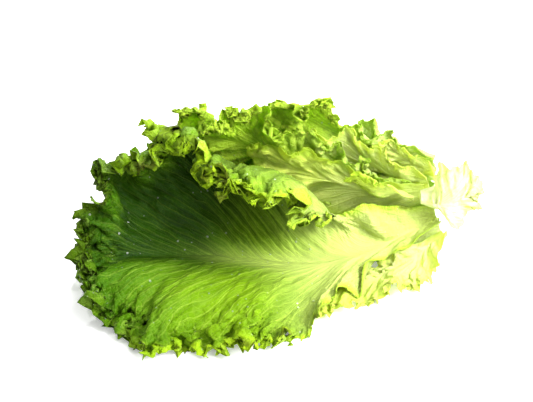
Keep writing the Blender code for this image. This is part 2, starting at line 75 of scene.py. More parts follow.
# Each leaf: its rib from base to tip; its edge from the base round the tip to the base again;
# tip, which edge point is the tip; cup, how far it bellies away from the axis; depth of the rib
# at the base; frill, the strength of its waves; shift, where its waves start. The front leaf has
# more: guides, the waist and shoulder points at an edge point, and a finer grid. Ribs, edges and
# guides are in tenths of a millimetre, all other lengths in metres.
TENTHS = 10000
LEAVES = {
    "leaf_under_left": dict(
        rib=((1290, 230, 115), (800, 120, 35), (100, -40, 22), (-600, -220, 18),
             (-1120, -380, 80)),
        edge=((1300, 130, 130), (850, -80, 60), (350, -340, 40), (-300, -600, 40),
              (-850, -720, 50), (-1210, -620, 90), (-1320, -380, 140), (-1220, -60, 160),
              (-850, 220, 100), (-300, 420, 60), (350, 480, 50), (850, 420, 60), (1300, 330, 140)),
        tip=6, cup=0.0, depth=0.003, frill=0.55, shift=0.4),
    "leaf_under_right": dict(
        rib=((1290, 30, 200), (1080, -120, 100), (750, -310, 50), (350, -500, 30), (40, -640, 30)),
        edge=((1300, -30, 270), (1240, -180, 150), (1150, -330, 50), (920, -480, 40),
              (580, -640, 40), (220, -800, 30), (-80, -740, 30), (-20, -600, 30), (300, -450, 50),
              (700, -220, 80), (1050, -20, 120), (1290, 110, 170)),
        tip=6, cup=0.0, depth=0.003, frill=0.5, shift=1.9),
    "leaf_back_low": dict(
        rib=((1280, 414, 275), (900, 620, 150), (300, 760, 120), (-350, 780, 180),
             (-780, 700, 320)),
        edge=((1290, 360, 200), (850, 480, 140), (350, 520, 130), (-250, 480, 130),
              (-750, 400, 180), (-980, 500, 320), (-960, 660, 480), (-660, 820, 540),
              (-200, 960, 460), (350, 980, 420), (800, 860, 380), (1260, 460, 360)),
        tip=6, cup=0.012, depth=0.0036, frill=0.9, shift=2.7),
    "leaf_back_high": dict(
        rib=((1260, 440, 465), (850, 640, 440), (300, 780, 500), (-250, 740, 600),
             (-640, 600, 690)),
        edge=((1270, 440, 390), (850, 700, 300), (300, 860, 280), (-300, 840, 360),
              (-720, 700, 500), (-900, 600, 640), (-880, 500, 720), (-620, 450, 820),
              (-180, 530, 880), (350, 640, 800), (850, 560, 680), (1240, 405, 560)),
        tip=6, cup=0.008, depth=0.0036, frill=0.9, shift=0.9),
    "leaf_top": dict(
        rib=((1230, 355, 630), (900, 500, 640), (580, 580, 740), (360, 570, 860), (260, 500, 970)),
        edge=((1240, 405, 570), (880, 560, 540), (480, 640, 600), (140, 660, 780), (0, 570, 920),
              (80, 460, 1020), (240, 400, 1070), (420, 420, 1000), (540, 470, 900),
              (680, 480, 840), (940, 420, 730), (1210, 280, 685)),
        tip=6, cup=0.002, depth=0.003, frill=0.75, shift=3.3),
    "leaf_back_right_far": dict(
        rib=((1200, 65, 420), (1310, 50, 450), (1420, 55, 490), (1505, 75, 520)),
        edge=((1190, 85, 490), (1210, 115, 590), (1275, 160, 715), (1345, 130, 700),
              (1420, 150, 740), (1470, 105, 665), (1540, 115, 640), (1520, 70, 530),
              (1540, 45, 425), (1465, 35, 360), (1425, 0, 270), (1365, 15, 300), (1265, 45, 365)),
        tip=7, cup=0.002, depth=0.002, frill=0.6, shift=4.2),
    "leaf_back_right_mid": dict(
        rib=((1230, 337, 530), (1120, 400, 560), (1000, 450, 620), (880, 470, 680)),
        edge=((1240, 360, 470), (1120, 440, 470), (960, 500, 500), (800, 520, 620),
              (760, 480, 750), (880, 440, 780), (1000, 410, 730), (1120, 360, 690),
              (1210, 290, 580)),
        tip=4, cup=0.001, depth=0.0022, frill=0.5, shift=5.0),
    "leaf_back_right_near": dict(
        rib=((1200, 341, 432), (980, 410, 450), (720, 470, 520), (460, 490, 640), (340, 470, 710)),
        edge=((1210, 330, 365), (960, 450, 350), (660, 540, 380), (360, 570, 520), (200, 520, 700),
              (340, 440, 820), (580, 410, 800), (800, 370, 710), (980, 350, 630),
              (1170, 320, 500)),
        tip=4, cup=0.003, depth=0.0022, frill=0.6, shift=0.2),
    "leaf_mid": dict(
        rib=((1210, 283, 312), (800, 370, 340), (300, 440, 480), (-150, 460, 700),
             (-400, 400, 870)),
        edge=((1220, 216, 273), (800, 340, 220), (250, 480, 260), (-300, 520, 440),
              (-620, 410, 740), (-680, 300, 900), (-560, 260, 1000), (-340, 310, 1050),
              (-80, 350, 1010), (180, 340, 900), (450, 340, 740), (800, 330, 580),
              (1190, 318, 370)),
        tip=6, cup=0.004, depth=0.0024, frill=0.85, shift=1.3),
    "leaf_heart_large": dict(
        rib=((1180, 296, 390), (880, 300, 380), (460, 340, 460), (120, 360, 600), (-20, 340, 670)),
        edge=((1190, 262, 330), (900, 270, 260), (500, 330, 260), (120, 380, 400),
              (-100, 370, 600), (-140, 330, 720), (40, 310, 780), (300, 310, 730), (580, 290, 620),
              (880, 270, 510), (1160, 290, 455)),
        tip=5, cup=0.002, depth=0.0024, frill=0.4, shift=2.2),
    "leaf_heart_small": dict(
        rib=((1070, 180, 400), (960, 200, 440), (800, 210, 500), (640, 160, 560)),
        edge=((1080, 220, 360), (940, 260, 390), (740, 250, 460), (570, 180, 580), (660, 100, 610),
              (840, 100, 560), (980, 110, 490), (1070, 140, 440)),
        tip=3, cup=0.001, depth=0.0018, frill=0.35, shift=3.9),
    "leaf_front": dict(
        rib=((1260, 170, 250), (980, 30, 170), (600, -210, 140), (240, -270, 130),
             (-120, -250, 150), (-470, -240, 180), (-820, -280, 220), (-1100, -380, 310)),
        edge=((1280, 60, 300), (1030, -110, 210), (750, -330, 150), (500, -640, 110),
              (140, -1000, 70), (-340, -1130, 40), (-820, -1100, 50), (-1120, -800, 120),
              (-1260, -580, 320), (-1280, -420, 400), (-1280, -190, 560), (-1120, -20, 720),
              (-850, 20, 890), (-420, -160, 880), (-30, -320, 710), (340, -190, 470),
              (600, 60, 405), (900, 165, 355), (1250, 230, 265)),
        guides={5: ((-140, -580, 200), (-250, -900, 180)),
                6: ((-530, -560, 260), (-710, -880, 240)),
                7: ((-840, -470, 320), (-1000, -660, 320)),
                10: ((-1160, -200, 360), (-1260, -160, 460)),
                11: ((-900, -20, 360), (-1060, 60, 560)), 12: ((-500, 120, 400), (-740, 200, 700)),
                13: ((-120, 180, 420), (-340, 180, 770)), 14: ((260, 80, 340), (60, 130, 650)),
                15: ((620, 20, 240), (480, 40, 400))},
        tip=9, cup=0.004, depth=0.0046, frill=1.0, shift=2.1, edge_step=FRONT_EDGE_STEP,
        columns=FRONT_COLUMNS),
}
for leaf in LEAVES.values():
    leaf["rib"], leaf["edge"] = np.array(leaf["rib"]) / TENTHS, np.array(leaf["edge"]) / TENTHS
    leaf["guides"] = {k: np.array(pair) / TENTHS for k, pair in leaf.get("guides", {}).items()}
print(len(LEAVES), "leaves, laid from the outermost to the innermost")

# %% [markdown]
# A smooth curve through a few points is the base of every leaf. The natural cubic curve bends
# as little as it can between its points, like a thin springy strip would.

# %% Smooth curves through guide points
# A curve is first read this many times finer than wanted, to find even steps of its length
CURVE_SAMPLES = 20


def spline(knots, points, at):
    """Points on the natural cubic curve that passes through the given points at the knots."""
    knots = np.asarray(knots, float)
    points = np.asarray(points, float)
    at = np.asarray(at, float)
    last = len(knots) - 1
    gap = np.diff(knots)
    matrix = np.eye(last + 1)
    right = np.zeros_like(points)
    for k in range(1, last):
        matrix[k, k - 1:k + 2] = gap[k - 1], 2 * (gap[k - 1] + gap[k]), gap[k]
        slope = (points[k] - points[k - 1]) / gap[k - 1]
        right[k] = 6 * ((points[k + 1] - points[k]) / gap[k] - slope)
    bend = np.linalg.solve(matrix, right)
    k = np.clip(np.searchsorted(knots, at, side="right") - 1, 0, last - 1)
    step = gap[k][:, None]
    before = (knots[k + 1] - at)[:, None]
    after = (at - knots[k])[:, None]
    curve = (bend[k] * before ** 3 + bend[k + 1] * after ** 3) / (6 * step)
    curve += (points[k] / step - bend[k] * step / 6) * before
    return curve + (points[k + 1] / step - bend[k + 1] * step / 6) * after


def lengths(points):
    """How far along the line each of its points lies."""
    steps = np.linalg.norm(np.diff(points, axis=0), axis=1)
    return np.concatenate(([0.0], np.cumsum(steps)))


def even_curve(points, count):
    """A smooth curve through the points, read at even steps of its length."""
    points = np.asarray(points, float)
    knots = lengths(points)
    fine = spline(knots, points, np.linspace(0.0, knots[-1], CURVE_SAMPLES * count))
    run = lengths(fine)
    at = np.linspace(0.0, run[-1], count)
    return np.stack([np.interp(at, run, fine[:, axis]) for axis in range(3)], axis=1)


def along(curve, share):
    """The points of an even curve at the given shares of its length."""
    place = np.clip(share, 0.0, 1.0) * (len(curve) - 1)
    steps = np.arange(len(curve))
    return np.stack([np.interp(place, steps, curve[:, axis]) for axis in range(3)], axis=-1)


print("length of the front rib in mm:", round(1000 * lengths(LEAVES["leaf_front"]["rib"])[-1]))

# %% [markdown]
# Leaves wrap round the axis of the head. To bend a leaf inwards or outwards, its points are
# read as a turn round that axis and a distance from it.

# %% Places round the head's axis
# The head's own axis runs from the cut base to the tips
BASE_X, BASE_Y, BASE_Z = 0.13, 0.020, 0.040
TIP_X, TIP_Y, TIP_Z = -0.13, -0.035, 0.085


def axis_at(x):
    """Depth and height of the head's axis at x."""
    share = (BASE_X - x) / (BASE_X - TIP_X)
    return BASE_Y + share * (TIP_Y - BASE_Y), BASE_Z + share * (TIP_Z - BASE_Z)


def to_head(points):
    """Turn (0 is down, a quarter is the back) and distance from the head's axis."""
    axis_y, axis_z = axis_at(points[..., 0])
    back = points[..., 1] - axis_y
    up = points[..., 2] - axis_z
    return np.arctan2(back, -up), np.hypot(back, up)


def from_head(points, distance):
    """The points moved straight towards or away from the axis, to the given distance."""
    axis_y, axis_z = axis_at(points[..., 0])
    turn = to_head(points)[0]
    back = axis_y + distance * np.sin(turn)
    up = axis_z - distance * np.cos(turn)
    return np.stack([points[..., 0], back, up], axis=-1)


def smooth_step(low, high, value):
    """0 below low, 1 above high, and a soft rise between."""
    share = np.clip((value - low) / (high - low), 0.0, 1.0)
    return share * share * (3 - 2 * share)


print("axis height at the base and at the tips:", axis_at(BASE_X)[1], axis_at(TIP_X)[1])

# %% [markdown]
# The surface of a leaf is a grid. Going along the grid one way follows the edge, and going
# the other way follows a vein line from the rib to the edge. That suits a lettuce, because
# its frills run along the edge and its veins run out to it.

# %% The grid of a leaf
RIB_SAMPLES = 120

# Where the surface is guided between the rib (0) and the edge (1)
WAIST, SHOULDER = 0.38, 0.72

# A vein runs up along the rib for a share of its way, then spreads out towards the edge. Veins
# crowd towards the leaf's base, and near the tip they run straight.
VEIN_LEAN, VEIN_SPREAD = 0.6, 0.3
VEIN_CROWDING, TIP_CALM = 1.2, 0.2


def rib_share(side):
    """How far up the rib the vein line starts that ends at this place on the edge."""
    return (1.0 - np.abs(side)) ** VEIN_CROWDING


def leaf_guides(leaf, rib):
    """The edge's own guide points with the waist and shoulder points of their vein lines."""
    edge = np.asarray(leaf["edge"], float)
    knots = lengths(edge)
    tip = leaf["tip"]
    reach = np.where(np.arange(len(edge)) <= tip, knots[tip], knots[-1] - knots[tip])
    side = (knots - knots[tip]) / reach
    start = along(rib, rib_share(side))
    guides = []
    for k, corner in enumerate(edge):
        if k in leaf["guides"]:
            guides.append(leaf["guides"][k])
            continue
        foot = np.argmin(np.linalg.norm(rib - corner, axis=1)) / (len(rib) - 1)
        first = rib_share(side[k])
        pull = along(rib, first + VEIN_LEAN * max(foot - first, 0.0))
        pull = pull + VEIN_SPREAD * (corner - pull)
        pull = from_head(pull, to_head(pull)[1] + leaf["cup"])
        own = []
        for s in (WAIST, SHOULDER):
            own.append((1 - s) ** 2 * start[k] + 2 * s * (1 - s) * pull + s * s * corner)
        guides.append(own)
    return side, np.asarray(guides, float), edge


def leaf_lines(leaf, rows, columns):
    """The leaf's middle surface as a grid of vein lines, each read from rib to edge."""
    rib = even_curve(leaf["rib"], RIB_SAMPLES)
    guide_side, guides, edge = leaf_guides(leaf, rib)
    side = np.linspace(-1.0, 1.0, 2 * rows + 1)
    start = along(rib, rib_share(side))
    rim = spline(guide_side, edge, side)
    calm = smooth_step(0.0, TIP_CALM, np.abs(side))[:, None]
    between = []
    for k, share in enumerate((WAIST, SHOULDER)):
        straight = (1 - share) * along(rib, rib_share(guide_side)) + share * edge
        swing = spline(guide_side, guides[:, k] - straight, side) * calm
        between.append((1 - share) * start + share * rim + swing)
    waist, shoulder = between
    stops = (0.0, WAIST, SHOULDER, 1.0)
    grid = np.zeros((len(side), len(columns), 3))
    for own, points in zip(stops, (start, waist, shoulder, rim)):
        weight = np.ones(len(columns))
        for other in stops:
            if other != own:
                weight *= (np.asarray(columns) - other) / (own - other)
        grid += weight[None, :, None] * points[:, None, :]
    return rib, side, grid


share = rib_share(np.array([1.0, 0.5, 0.0]))
print("veins for the base, the middle and the tip leave the rib at", np.round(share, 2))

# %% [markdown]
# A leaf has far more edge than a flat sheet of its size, so the edge runs in waves. The
# largest waves are part of the solids, and they have to be the same here. They grow towards
# the edge, and leave the rib and the base of the leaf calm.

# %% Large waves along the edge
# Length of a wave along the edge, its height at the edge, and how far in it reaches
FRILLS = ((0.064, 0.0080, 0.050), (0.029, 0.0070, 0.022))

# A slow drift keeps the waves uneven: its size, its length in waves, and its own start
DRIFT, DRIFT_LENGTH, DRIFT_START = 0.9, 2.7, 1.7

# Where the waves fade, as shares of the way out to the edge and along it to the base
RIB_CALM, BASE_CALM = 0.4, (0.72, 0.97)

# Notches in the edge itself: their depth, their length, and how their start follows the shift
NOTCH, NOTCH_LENGTH, NOTCH_START = 0.0022, 0.0205, 3


def surface_normals(grid):
    """Unit normals of the grid, the same on both sides of the rib."""
    down = np.gradient(grid, axis=0)
    across = np.gradient(grid, axis=1)
    normals = np.cross(down, across)
    normals /= np.maximum(np.linalg.norm(normals, axis=-1, keepdims=True), 1e-12)
    normals[:, 0] = normals[:, 0] + normals[::-1, 0]
    normals[len(grid) // 2, 0] = normals[len(grid) // 2, 1]
    size = np.linalg.norm(normals, axis=-1, keepdims=True)
    return normals / np.maximum(size, 1e-12)


def add_frills(leaf, grid, side, columns):
    """Waves that grow towards the edge, with notches in the edge itself."""
    normals = surface_normals(grid)
    rim_run = lengths(grid[:, -1])
    line_steps = np.linalg.norm(np.diff(grid, axis=1), axis=-1)
    to_rim = np.cumsum(line_steps[:, ::-1], axis=1)[:, ::-1]
    inward = np.concatenate([to_rim, np.zeros((len(side), 1))], axis=1)
    calm = leaf["frill"] * (1.0 - smooth_step(*BASE_CALM, np.abs(side)))
    lift = np.zeros(grid.shape[:2])
    for order, (wave, height, reach) in enumerate(FRILLS):
        slow = 2 * math.pi * rim_run / (DRIFT_LENGTH * wave)
        drift = DRIFT * np.sin(slow + DRIFT_START * leaf["shift"])
        phase = 2 * math.pi * rim_run / wave + drift + leaf["shift"] * (1 + order)
        lift += (height * calm * np.sin(phase))[:, None] * np.exp(-(inward / reach) ** 2)
    outward = grid[:, -1] - grid[:, -2]
    outward /= np.maximum(np.linalg.norm(outward, axis=-1, keepdims=True), 1e-9)
    phase = 2 * math.pi * rim_run / NOTCH_LENGTH + NOTCH_START * leaf["shift"]
    notch = NOTCH * calm * np.sin(phase)
    lift *= smooth_step(0.0, RIB_CALM, np.asarray(columns))
    grid = grid + lift[..., None] * normals
    grid[:, -1] += notch[:, None] * outward
    return grid


print("large waves on every edge:", [round(1000 * wave[0]) for wave in FRILLS], "mm long")

# %% [markdown]
# A leaf is a thin closed body with an inner face, an outer face and a narrow rim. On its back
# the rib stands out, thick at the base and gone near the tip. Both faces share the points on
# the rib, so that the two halves of the leaf hang together.

# %% The two faces of a leaf
# The blade of the solids, how wide a rib is, and over which share of its length it fades
BLADE, RIB_WIDTH, RIB_FADE = 0.0008, 0.0055, (0.05, 0.95)


def thickness(grid, marks, blade, depth):
    """The blade, and the rib's own depth close to its marks, fading towards the tip."""
    apart = np.linalg.norm(grid[:, :, None, :] - marks[None, None], axis=-1)
    up = apart.argmin(axis=-1) / (len(marks) - 1)
    depth = depth * (1.0 - smooth_step(*RIB_FADE, up))
    return blade + depth * np.exp(-(apart.min(axis=-1) / RIB_WIDTH) ** 2)


def leaf_faces(grid, thick, clear=0.0):
    """The inner and the outer face of a leaf, each moved off by the clearance."""
    out = -surface_normals(grid)
    return grid - out * clear, grid + out * (thick[..., None] + clear)


def leaf_triangles(rows, columns):
    """The triangles of a leaf's two faces and its rim, as indices into inner then outer points."""
    def at(i, j):
        return (rows - 1 - i) * columns if j == 0 and i > rows // 2 else i * columns + j

    skin = []
    for i in range(rows - 1):
        for j in range(columns - 1):
            corners = at(i, j), at(i + 1, j), at(i + 1, j + 1), at(i, j + 1)
            if (i < rows // 2) == (j % 2 == 1):
                skin += [(corners[0], corners[1], corners[2]), (corners[0], corners[2], corners[3])]
            else:
                skin += [(corners[0], corners[1], corners[3]), (corners[1], corners[2], corners[3])]
    rim = [at(i, columns - 1) for i in range(rows)]
    rim += [at(rows - 1, j) for j in range(columns - 2, -1, -1)]
    rim += [at(0, j) for j in range(1, columns)]
    other = rows * columns
    wall = []
    for one, two in zip(rim, rim[1:]):
        wall += [(one, two, two + other), (one, two + other, one + other)]
    return skin + [tuple(k + other for k in reversed(tri)) for tri in skin] + wall


print("the front leaf is", 1000 * (BLADE + LEAVES["leaf_front"]["depth"]), "mm thick at its base")

# %% [markdown]
# Where an edge curls tightly, the two faces of a leaf could run through each other. There the
# leaf is thinned and evened out a little, again and again, until it is clean.

# %% Clear a leaf of itself
# Rounds, how strongly the cure reaches the points around, and thinning and evening per round
UNTANGLE_ROUNDS, UNTANGLE_REACH, THIN_OUT, EVEN_OUT = 60, 2.5, 0.3, 0.3


def spread(push, rounds):
    """The push handed on softly to the neighbouring points of the grid."""
    for _ in range(rounds):
        padded = np.pad(push, ((1, 1), (1, 1), (0, 0)), mode="edge")
        beside = padded[:-2, 1:-1] + padded[2:, 1:-1] + padded[1:-1, :-2] + padded[1:-1, 2:]
        push = (2 * push + beside) / 6
    return push


def join_halves(grid):
    """Let the two halves of a leaf agree on the points of the rib."""
    grid[:, 0] = (grid[:, 0] + grid[::-1, 0]) / 2


def leaf_tree(faces, triangles):
    """The points of a leaf's two faces, and a search tree over its triangles."""
    points = np.concatenate([face.reshape(-1, 3) for face in faces])
    return points, BVHTree.FromPolygons(points.tolist(), triangles)


def untangle(grid, thick):
    """The leaf thinned and evened out wherever its own two faces would run through each other."""
    rows, columns = grid.shape[:2]
    triangles = leaf_triangles(rows, columns)
    for _ in range(UNTANGLE_ROUNDS):
        tree = leaf_tree(leaf_faces(grid, thick), triangles)[1]
        tight = np.zeros((rows, columns))
        for one, two in tree.overlap(tree):
            if one < two and not set(triangles[one]) & set(triangles[two]):
                for corner in triangles[one] + triangles[two]:
                    tight[divmod(corner % (rows * columns), columns)] = 1.0
        if not tight.any():
            break
        tight[:, 0] = np.maximum(tight[:, 0], tight[::-1, 0])
        tight = np.clip(UNTANGLE_REACH * spread(tight[..., None], 2), 0.0, 1.0)
        thick = BLADE + (thick - BLADE) * (1.0 - THIN_OUT * tight[..., 0])
        whole = np.concatenate([grid[::-1, 1:2], grid], axis=1)
        even = spread(whole, 1)[:, 1:]
        grid = grid + EVEN_OUT * tight * (even - grid)
        join_halves(grid)
    return grid, thick


nudge = np.zeros((5, 5, 1))
nudge[2, 2] = 1.0
print("a push on one point, handed on twice:", np.round(spread(nudge, 2)[2, :, 0], 2))

# %% [markdown]
# In a real head each leaf is pressed into shape by the leaves outside it. So a leaf that
# meets one of those, or the floor, is pushed inwards in small steps, and each push is handed
# on to the points around it, which bends the leaf softly instead of denting it.

# %% Bend a leaf clear of the ones outside it
# The clearance of a leaf, and the share of its thickness that a rib pressed on the floor keeps
LEAF_GAP, RIB_LEFT = 0.0005, 0.55

# One small step, the most steps, over how many points a push is handed on, and the share of it
# that stays on the point itself
BEND_STEP, BEND_ROUNDS, BEND_SPREAD, BEND_OWN = 0.0005, 120, 4, 0.2

# How deep a crossing is looked for, how straight the way out has to be, and how much of its
# depth is pushed out in one step
DEEPEST, DEEP_SHARE, DEEP_PUSH = 0.012, 0.8, 0.5


def bend_clear(grid, thick, laid):
    """The leaf bent inwards until it clears the floor and every leaf laid before."""
    rows, columns = grid.shape[:2]
    triangles = leaf_triangles(rows, columns)
    bend = np.zeros_like(grid)
    lowest = np.maximum(BLADE, RIB_LEFT * thick)
    for _ in range(BEND_ROUNDS):
        bent = grid + bend
        bent[..., 2] = np.maximum(bent[..., 2], lowest)
        tree = leaf_tree(leaf_faces(bent, thick, LEAF_GAP), triangles)[1]
        push = np.zeros_like(grid)
        deep = np.zeros_like(grid)
        for other_tree, inward, edge_face in laid:
            for face, other in tree.overlap(other_tree):
                for corner in triangles[face]:
                    push[divmod(corner % (rows * columns), columns)] += inward[other]
            for place in np.ndindex(rows, columns):
                spot, _, other, apart = other_tree.find_nearest(bent[place].tolist(), DEEPEST)
                if spot is None or edge_face[other]:
                    continue
                depth = -float(np.dot(bent[place] - np.array(spot), inward[other]))
                if depth > DEEP_SHARE * apart:
                    deep[place] += inward[other] * depth
        size = np.linalg.norm(push, axis=-1, keepdims=True)
        if not size.any() and not deep.any():
            break
        push = push * BEND_STEP / np.maximum(size, 1e-9) + DEEP_PUSH * deep
        join_halves(push)
        bend += BEND_OWN * push + spread(push, BEND_SPREAD)
        join_halves(bend)
    bent = grid + bend
    bent[..., 2] = np.maximum(bent[..., 2], lowest)
    return bent


print("a leaf is bent by", 1000 * BEND_STEP, "mm at a time, at most", BEND_ROUNDS, "times")

# %% [markdown]
# The leaves are laid in the order in which they lie in the head, from the lowest to the front
# one, because each leaf bends clear of those before it. The head is then moved so that the
# middle of its outline stands over the origin, as the fixed solids do.

# %% Lay all leaves and put the head over the origin
# So many rows at a leaf's base count as its edge: they meet the stem and push nothing away.
# Every fourth point of the rib is enough to tell how near the rib is.
BASE_ROWS, RIB_STEP = 3, 4


def shape_leaf(leaf, laid):
    """The leaf's two faces, bent clear of the floor and of the leaves outside it."""
    columns = leaf.get("columns", COLUMNS)
    run = lengths(np.asarray(leaf["edge"], float))[-1]
    rows = int(round(run / leaf.get("edge_step", EDGE_STEP) / 2))
    rib, side, grid = leaf_lines(leaf, rows, columns)
    grid = add_frills(leaf, grid, side, columns)
    thick = thickness(grid, rib[::RIB_STEP], BLADE, leaf["depth"])
    grid, thick = untangle(grid, thick)
    grid = bend_clear(grid, thick, laid)
    grid, thick = untangle(grid, thick)
    inner, outer = leaf_faces(grid, thick)
    outer[..., 2] = np.maximum(outer[..., 2], 0.0)
    triangles = leaf_triangles(2 * rows + 1, len(columns))
    points, tree = leaf_tree((inner, outer), triangles)
    inward = surface_normals(grid).reshape(-1, 3)
    inward = np.concatenate([inward, inward])[np.array(triangles)].mean(axis=1)
    on_edge = np.zeros((2 * rows + 1, len(columns)), bool)
    on_edge[:, -1] = True
    on_edge[:BASE_ROWS] = True
    on_edge[-BASE_ROWS:] = True
    on_edge = np.concatenate([on_edge.ravel(), on_edge.ravel()])
    edge_face = on_edge[np.array(triangles)].any(axis=1)
    laid.append((tree, inward, edge_face))
    return grid, points


laid = []
grids = {}
every = []
for name, leaf in LEAVES.items():
    grids[name], points = shape_leaf(leaf, laid)
    every.append(points)
every = np.concatenate(every)
middle = (every.min(axis=0) + every.max(axis=0)) / 2
SHIFT = np.array([-middle[0], -middle[1], 0.0])
low, high = every.min(axis=0) + SHIFT, every.max(axis=0) + SHIFT
gap = max(abs(low[k] - cad_box[0][k]) for k in range(3))
print("laid again, within", round(1000 * gap, 3), "mm of the fixed solids")

# %% [markdown]
# A frill can only open where it has air round it. Between two leaves that lie close together
# it is pressed flat. So each grid point notes how far the nearest other leaf is.

# %% How much air each leaf has
# With this much air a frill opens fully, and with none it keeps the least share
AIR_NEEDED, AIR_LEAST = 0.010, 0.22
air = {}
for own, name in enumerate(grids):
    points = grids[name].reshape(-1, 3)
    nearest = np.full(len(points), AIR_NEEDED)
    for other, (tree, _, _) in enumerate(laid):
        if other != own:
            for k, point in enumerate(points):
                apart = tree.find_nearest(point.tolist(), AIR_NEEDED)[3]
                nearest[k] = min(nearest[k], AIR_NEEDED if apart is None else apart)
    air[name] = np.maximum(nearest / AIR_NEEDED, AIR_LEAST).reshape(grids[name].shape[:2])
    print(name, "has room for", round(100 * air[name].mean()), "% of its frills")

# %% [markdown]
# A real leaf has far more edge than its outline can hold, so the edge folds into frills. The
# grid is read again at a step of about a millimetre. The curve across the rib is taken as one
# piece from edge to edge, because a leaf has no crease at its rib.

# %% Read a leaf at a fine step
# How strongly the points crowd towards the edge: 0 is even, 1 the most
RIM_CROWDING = 0.5


def rim_places(count):
    """Places from rib (0) to edge (1), closer together near the edge, where the frills are."""
    share = 1.0 - np.linspace(0.0, 1.0, count)
    return 1.0 - ((1 - RIM_CROWDING) * share + RIM_CROWDING * share ** 2)


def fine_grid(grid, stops, rows, places):
    """The same surface with more rows along the edge and more columns across."""
    side = np.linspace(-1.0, 1.0, len(grid))
    tall = spline(side, grid.reshape(len(grid), -1), np.linspace(-1.0, 1.0, rows))
    tall = tall.reshape(rows, len(stops), 3)
    across = np.concatenate([tall[::-1, :0:-1], tall], axis=1)
    knots = np.concatenate([-np.asarray(stops)[:0:-1], stops])
    flat = across.transpose(1, 0, 2).reshape(len(knots), -1)
    return spline(knots, flat, places).reshape(len(places), rows, 3).transpose(1, 0, 2)


def fine_air(name, stops, rows, places):
    """The air of the coarse points, read at the fine ones."""
    side = np.linspace(0.0, 1.0, rows) * (len(air[name]) - 1)
    tall = [np.interp(side, np.arange(len(air[name])), column) for column in air[name].T]
    tall = np.stack(tall, axis=1)
    return np.stack([np.interp(places, stops, row) for row in tall])


def leaf_measures(grid):
    """Run along the edge, and for each point how far it is from the edge and from the rib."""
    steps = np.linalg.norm(np.diff(grid, axis=1), axis=-1)
    none = np.zeros((len(grid), 1))
    from_rib = np.concatenate([none, np.cumsum(steps, axis=1)], axis=1)
    return lengths(grid[:, -1]), from_rib[:, -1:] - from_rib, from_rib


print("places on a short vein line:", np.round(rim_places(5), 2))

# %% [markdown]
# Nothing on a leaf repeats evenly. A lattice of chosen numbers, blended softly from one to
# the next, gives an uneven but smooth change, and a fixed seed gives it again each time.

# %% Soft unevenness
LATTICE = 64


def soft_noise(a, b, seed):
    """A smooth uneven value between -1 and 1 for two running lengths."""
    table = np.random.RandomState(seed).uniform(-1.0, 1.0, (LATTICE, LATTICE))
    i, j = np.floor(a).astype(int), np.floor(b).astype(int)
    p, q = smooth_step(0.0, 1.0, a - i), smooth_step(0.0, 1.0, b - j)
    near = table[i % LATTICE, j % LATTICE] * (1 - p) + table[(i + 1) % LATTICE, j % LATTICE] * p
    far = table[i % LATTICE, (j + 1) % LATTICE] * (1 - p)
    far = far + table[(i + 1) % LATTICE, (j + 1) % LATTICE] * p
    return near * (1 - q) + far * q


sample = soft_noise(np.linspace(0, 9, 10), np.zeros(10) + 0.5, 4)
print("one line of it:", np.round(sample, 2))

# %% [markdown]
# Frills come in sizes: large waves carry smaller ones, and those carry crinkles. Each size is
# lifted off the surface that the last one left. The wave is also pushed along the edge, which
# makes its crest wider than its foot, so it folds over as a ruffle does.

# %% Ruffles
# How far a crest wanders, over how many waves along the edge, and how that changes inwards
WANDER, WANDER_LENGTH, WANDER_DEPTH = 0.85, 1.9, 1.5

# Crests lean to one side on their way in. Their strength has a middle, a change round it, and
# the number of waves over which it changes
LEAN = 0.35
STRENGTH, STRENGTH_CHANGE, STRENGTH_LENGTH = 0.70, 0.45, 1.7


def unit(vectors):
    """The vectors at a length of one."""
    return vectors / np.maximum(np.linalg.norm(vectors, axis=-1, keepdims=True), 1e-9)


def ruffle(grid, measures, wave, height, reach, curl, seed, calm):
    """One size of frill: how long, how high, how far in it reaches, how much it folds over."""
    run, edge, _ = measures
    place = run[:, None] / wave + 0 * edge
    uneven = WANDER * soft_noise(place / WANDER_LENGTH, edge / reach * WANDER_DEPTH, seed)
    phase = 2 * math.pi * (place + uneven + LEAN * edge / reach)
    change = soft_noise(place / STRENGTH_LENGTH, place * 0, seed + 1)
    strength = height * calm * (STRENGTH + STRENGTH_CHANGE * change)
    fade = np.exp(-(edge / reach) ** 2)
    normals = surface_normals(grid)
    tangent = unit(np.gradient(grid, axis=0))
    lift = strength * np.sin(phase) * fade
    slide = -curl * strength * np.sin(2 * phase) * fade
    return grid + lift[..., None] * normals + slide[..., None] * tangent


print("a crest is", STRENGTH - STRENGTH_CHANGE, "to", STRENGTH + STRENGTH_CHANGE, "of its height")

# %% [markdown]
# Between its veins the blade swells into soft blisters, because the veins grow more slowly
# than the skin between them. The edge itself ends in points and nicks of several sizes, each
# with a steep and a shallow flank, like the teeth of a saw.

# %% Blisters and teeth
# A blister is longer across the leaf than along it, starts this far from the rib, and is
# highest near the edge: the share it has everywhere, and the share it gains there
STRETCH, OFF_RIB, NEAR_EDGE = 1.4, (0.004, 0.024), 0.040
EVERYWHERE, AT_EDGE = 0.45, 0.55
SWELL, SINK = 1.7, 0.5

# A tooth: where in its length it peaks, how sharp it is, and how far out and back in it goes
TOOTH_PEAK, TOOTH_POINT, TOOTH_OUT, TOOTH_IN = 0.35, 1.7, 2.2, 0.8
TOOTH_WANDER, TOOTH_WANDER_LENGTH = 0.4, 2.1
TOOTH_SIZE, TOOTH_CHANGE, TOOTH_CHANGE_LENGTH, TOOTH_DEPTH = 0.7, 0.5, 1.3, 1.6


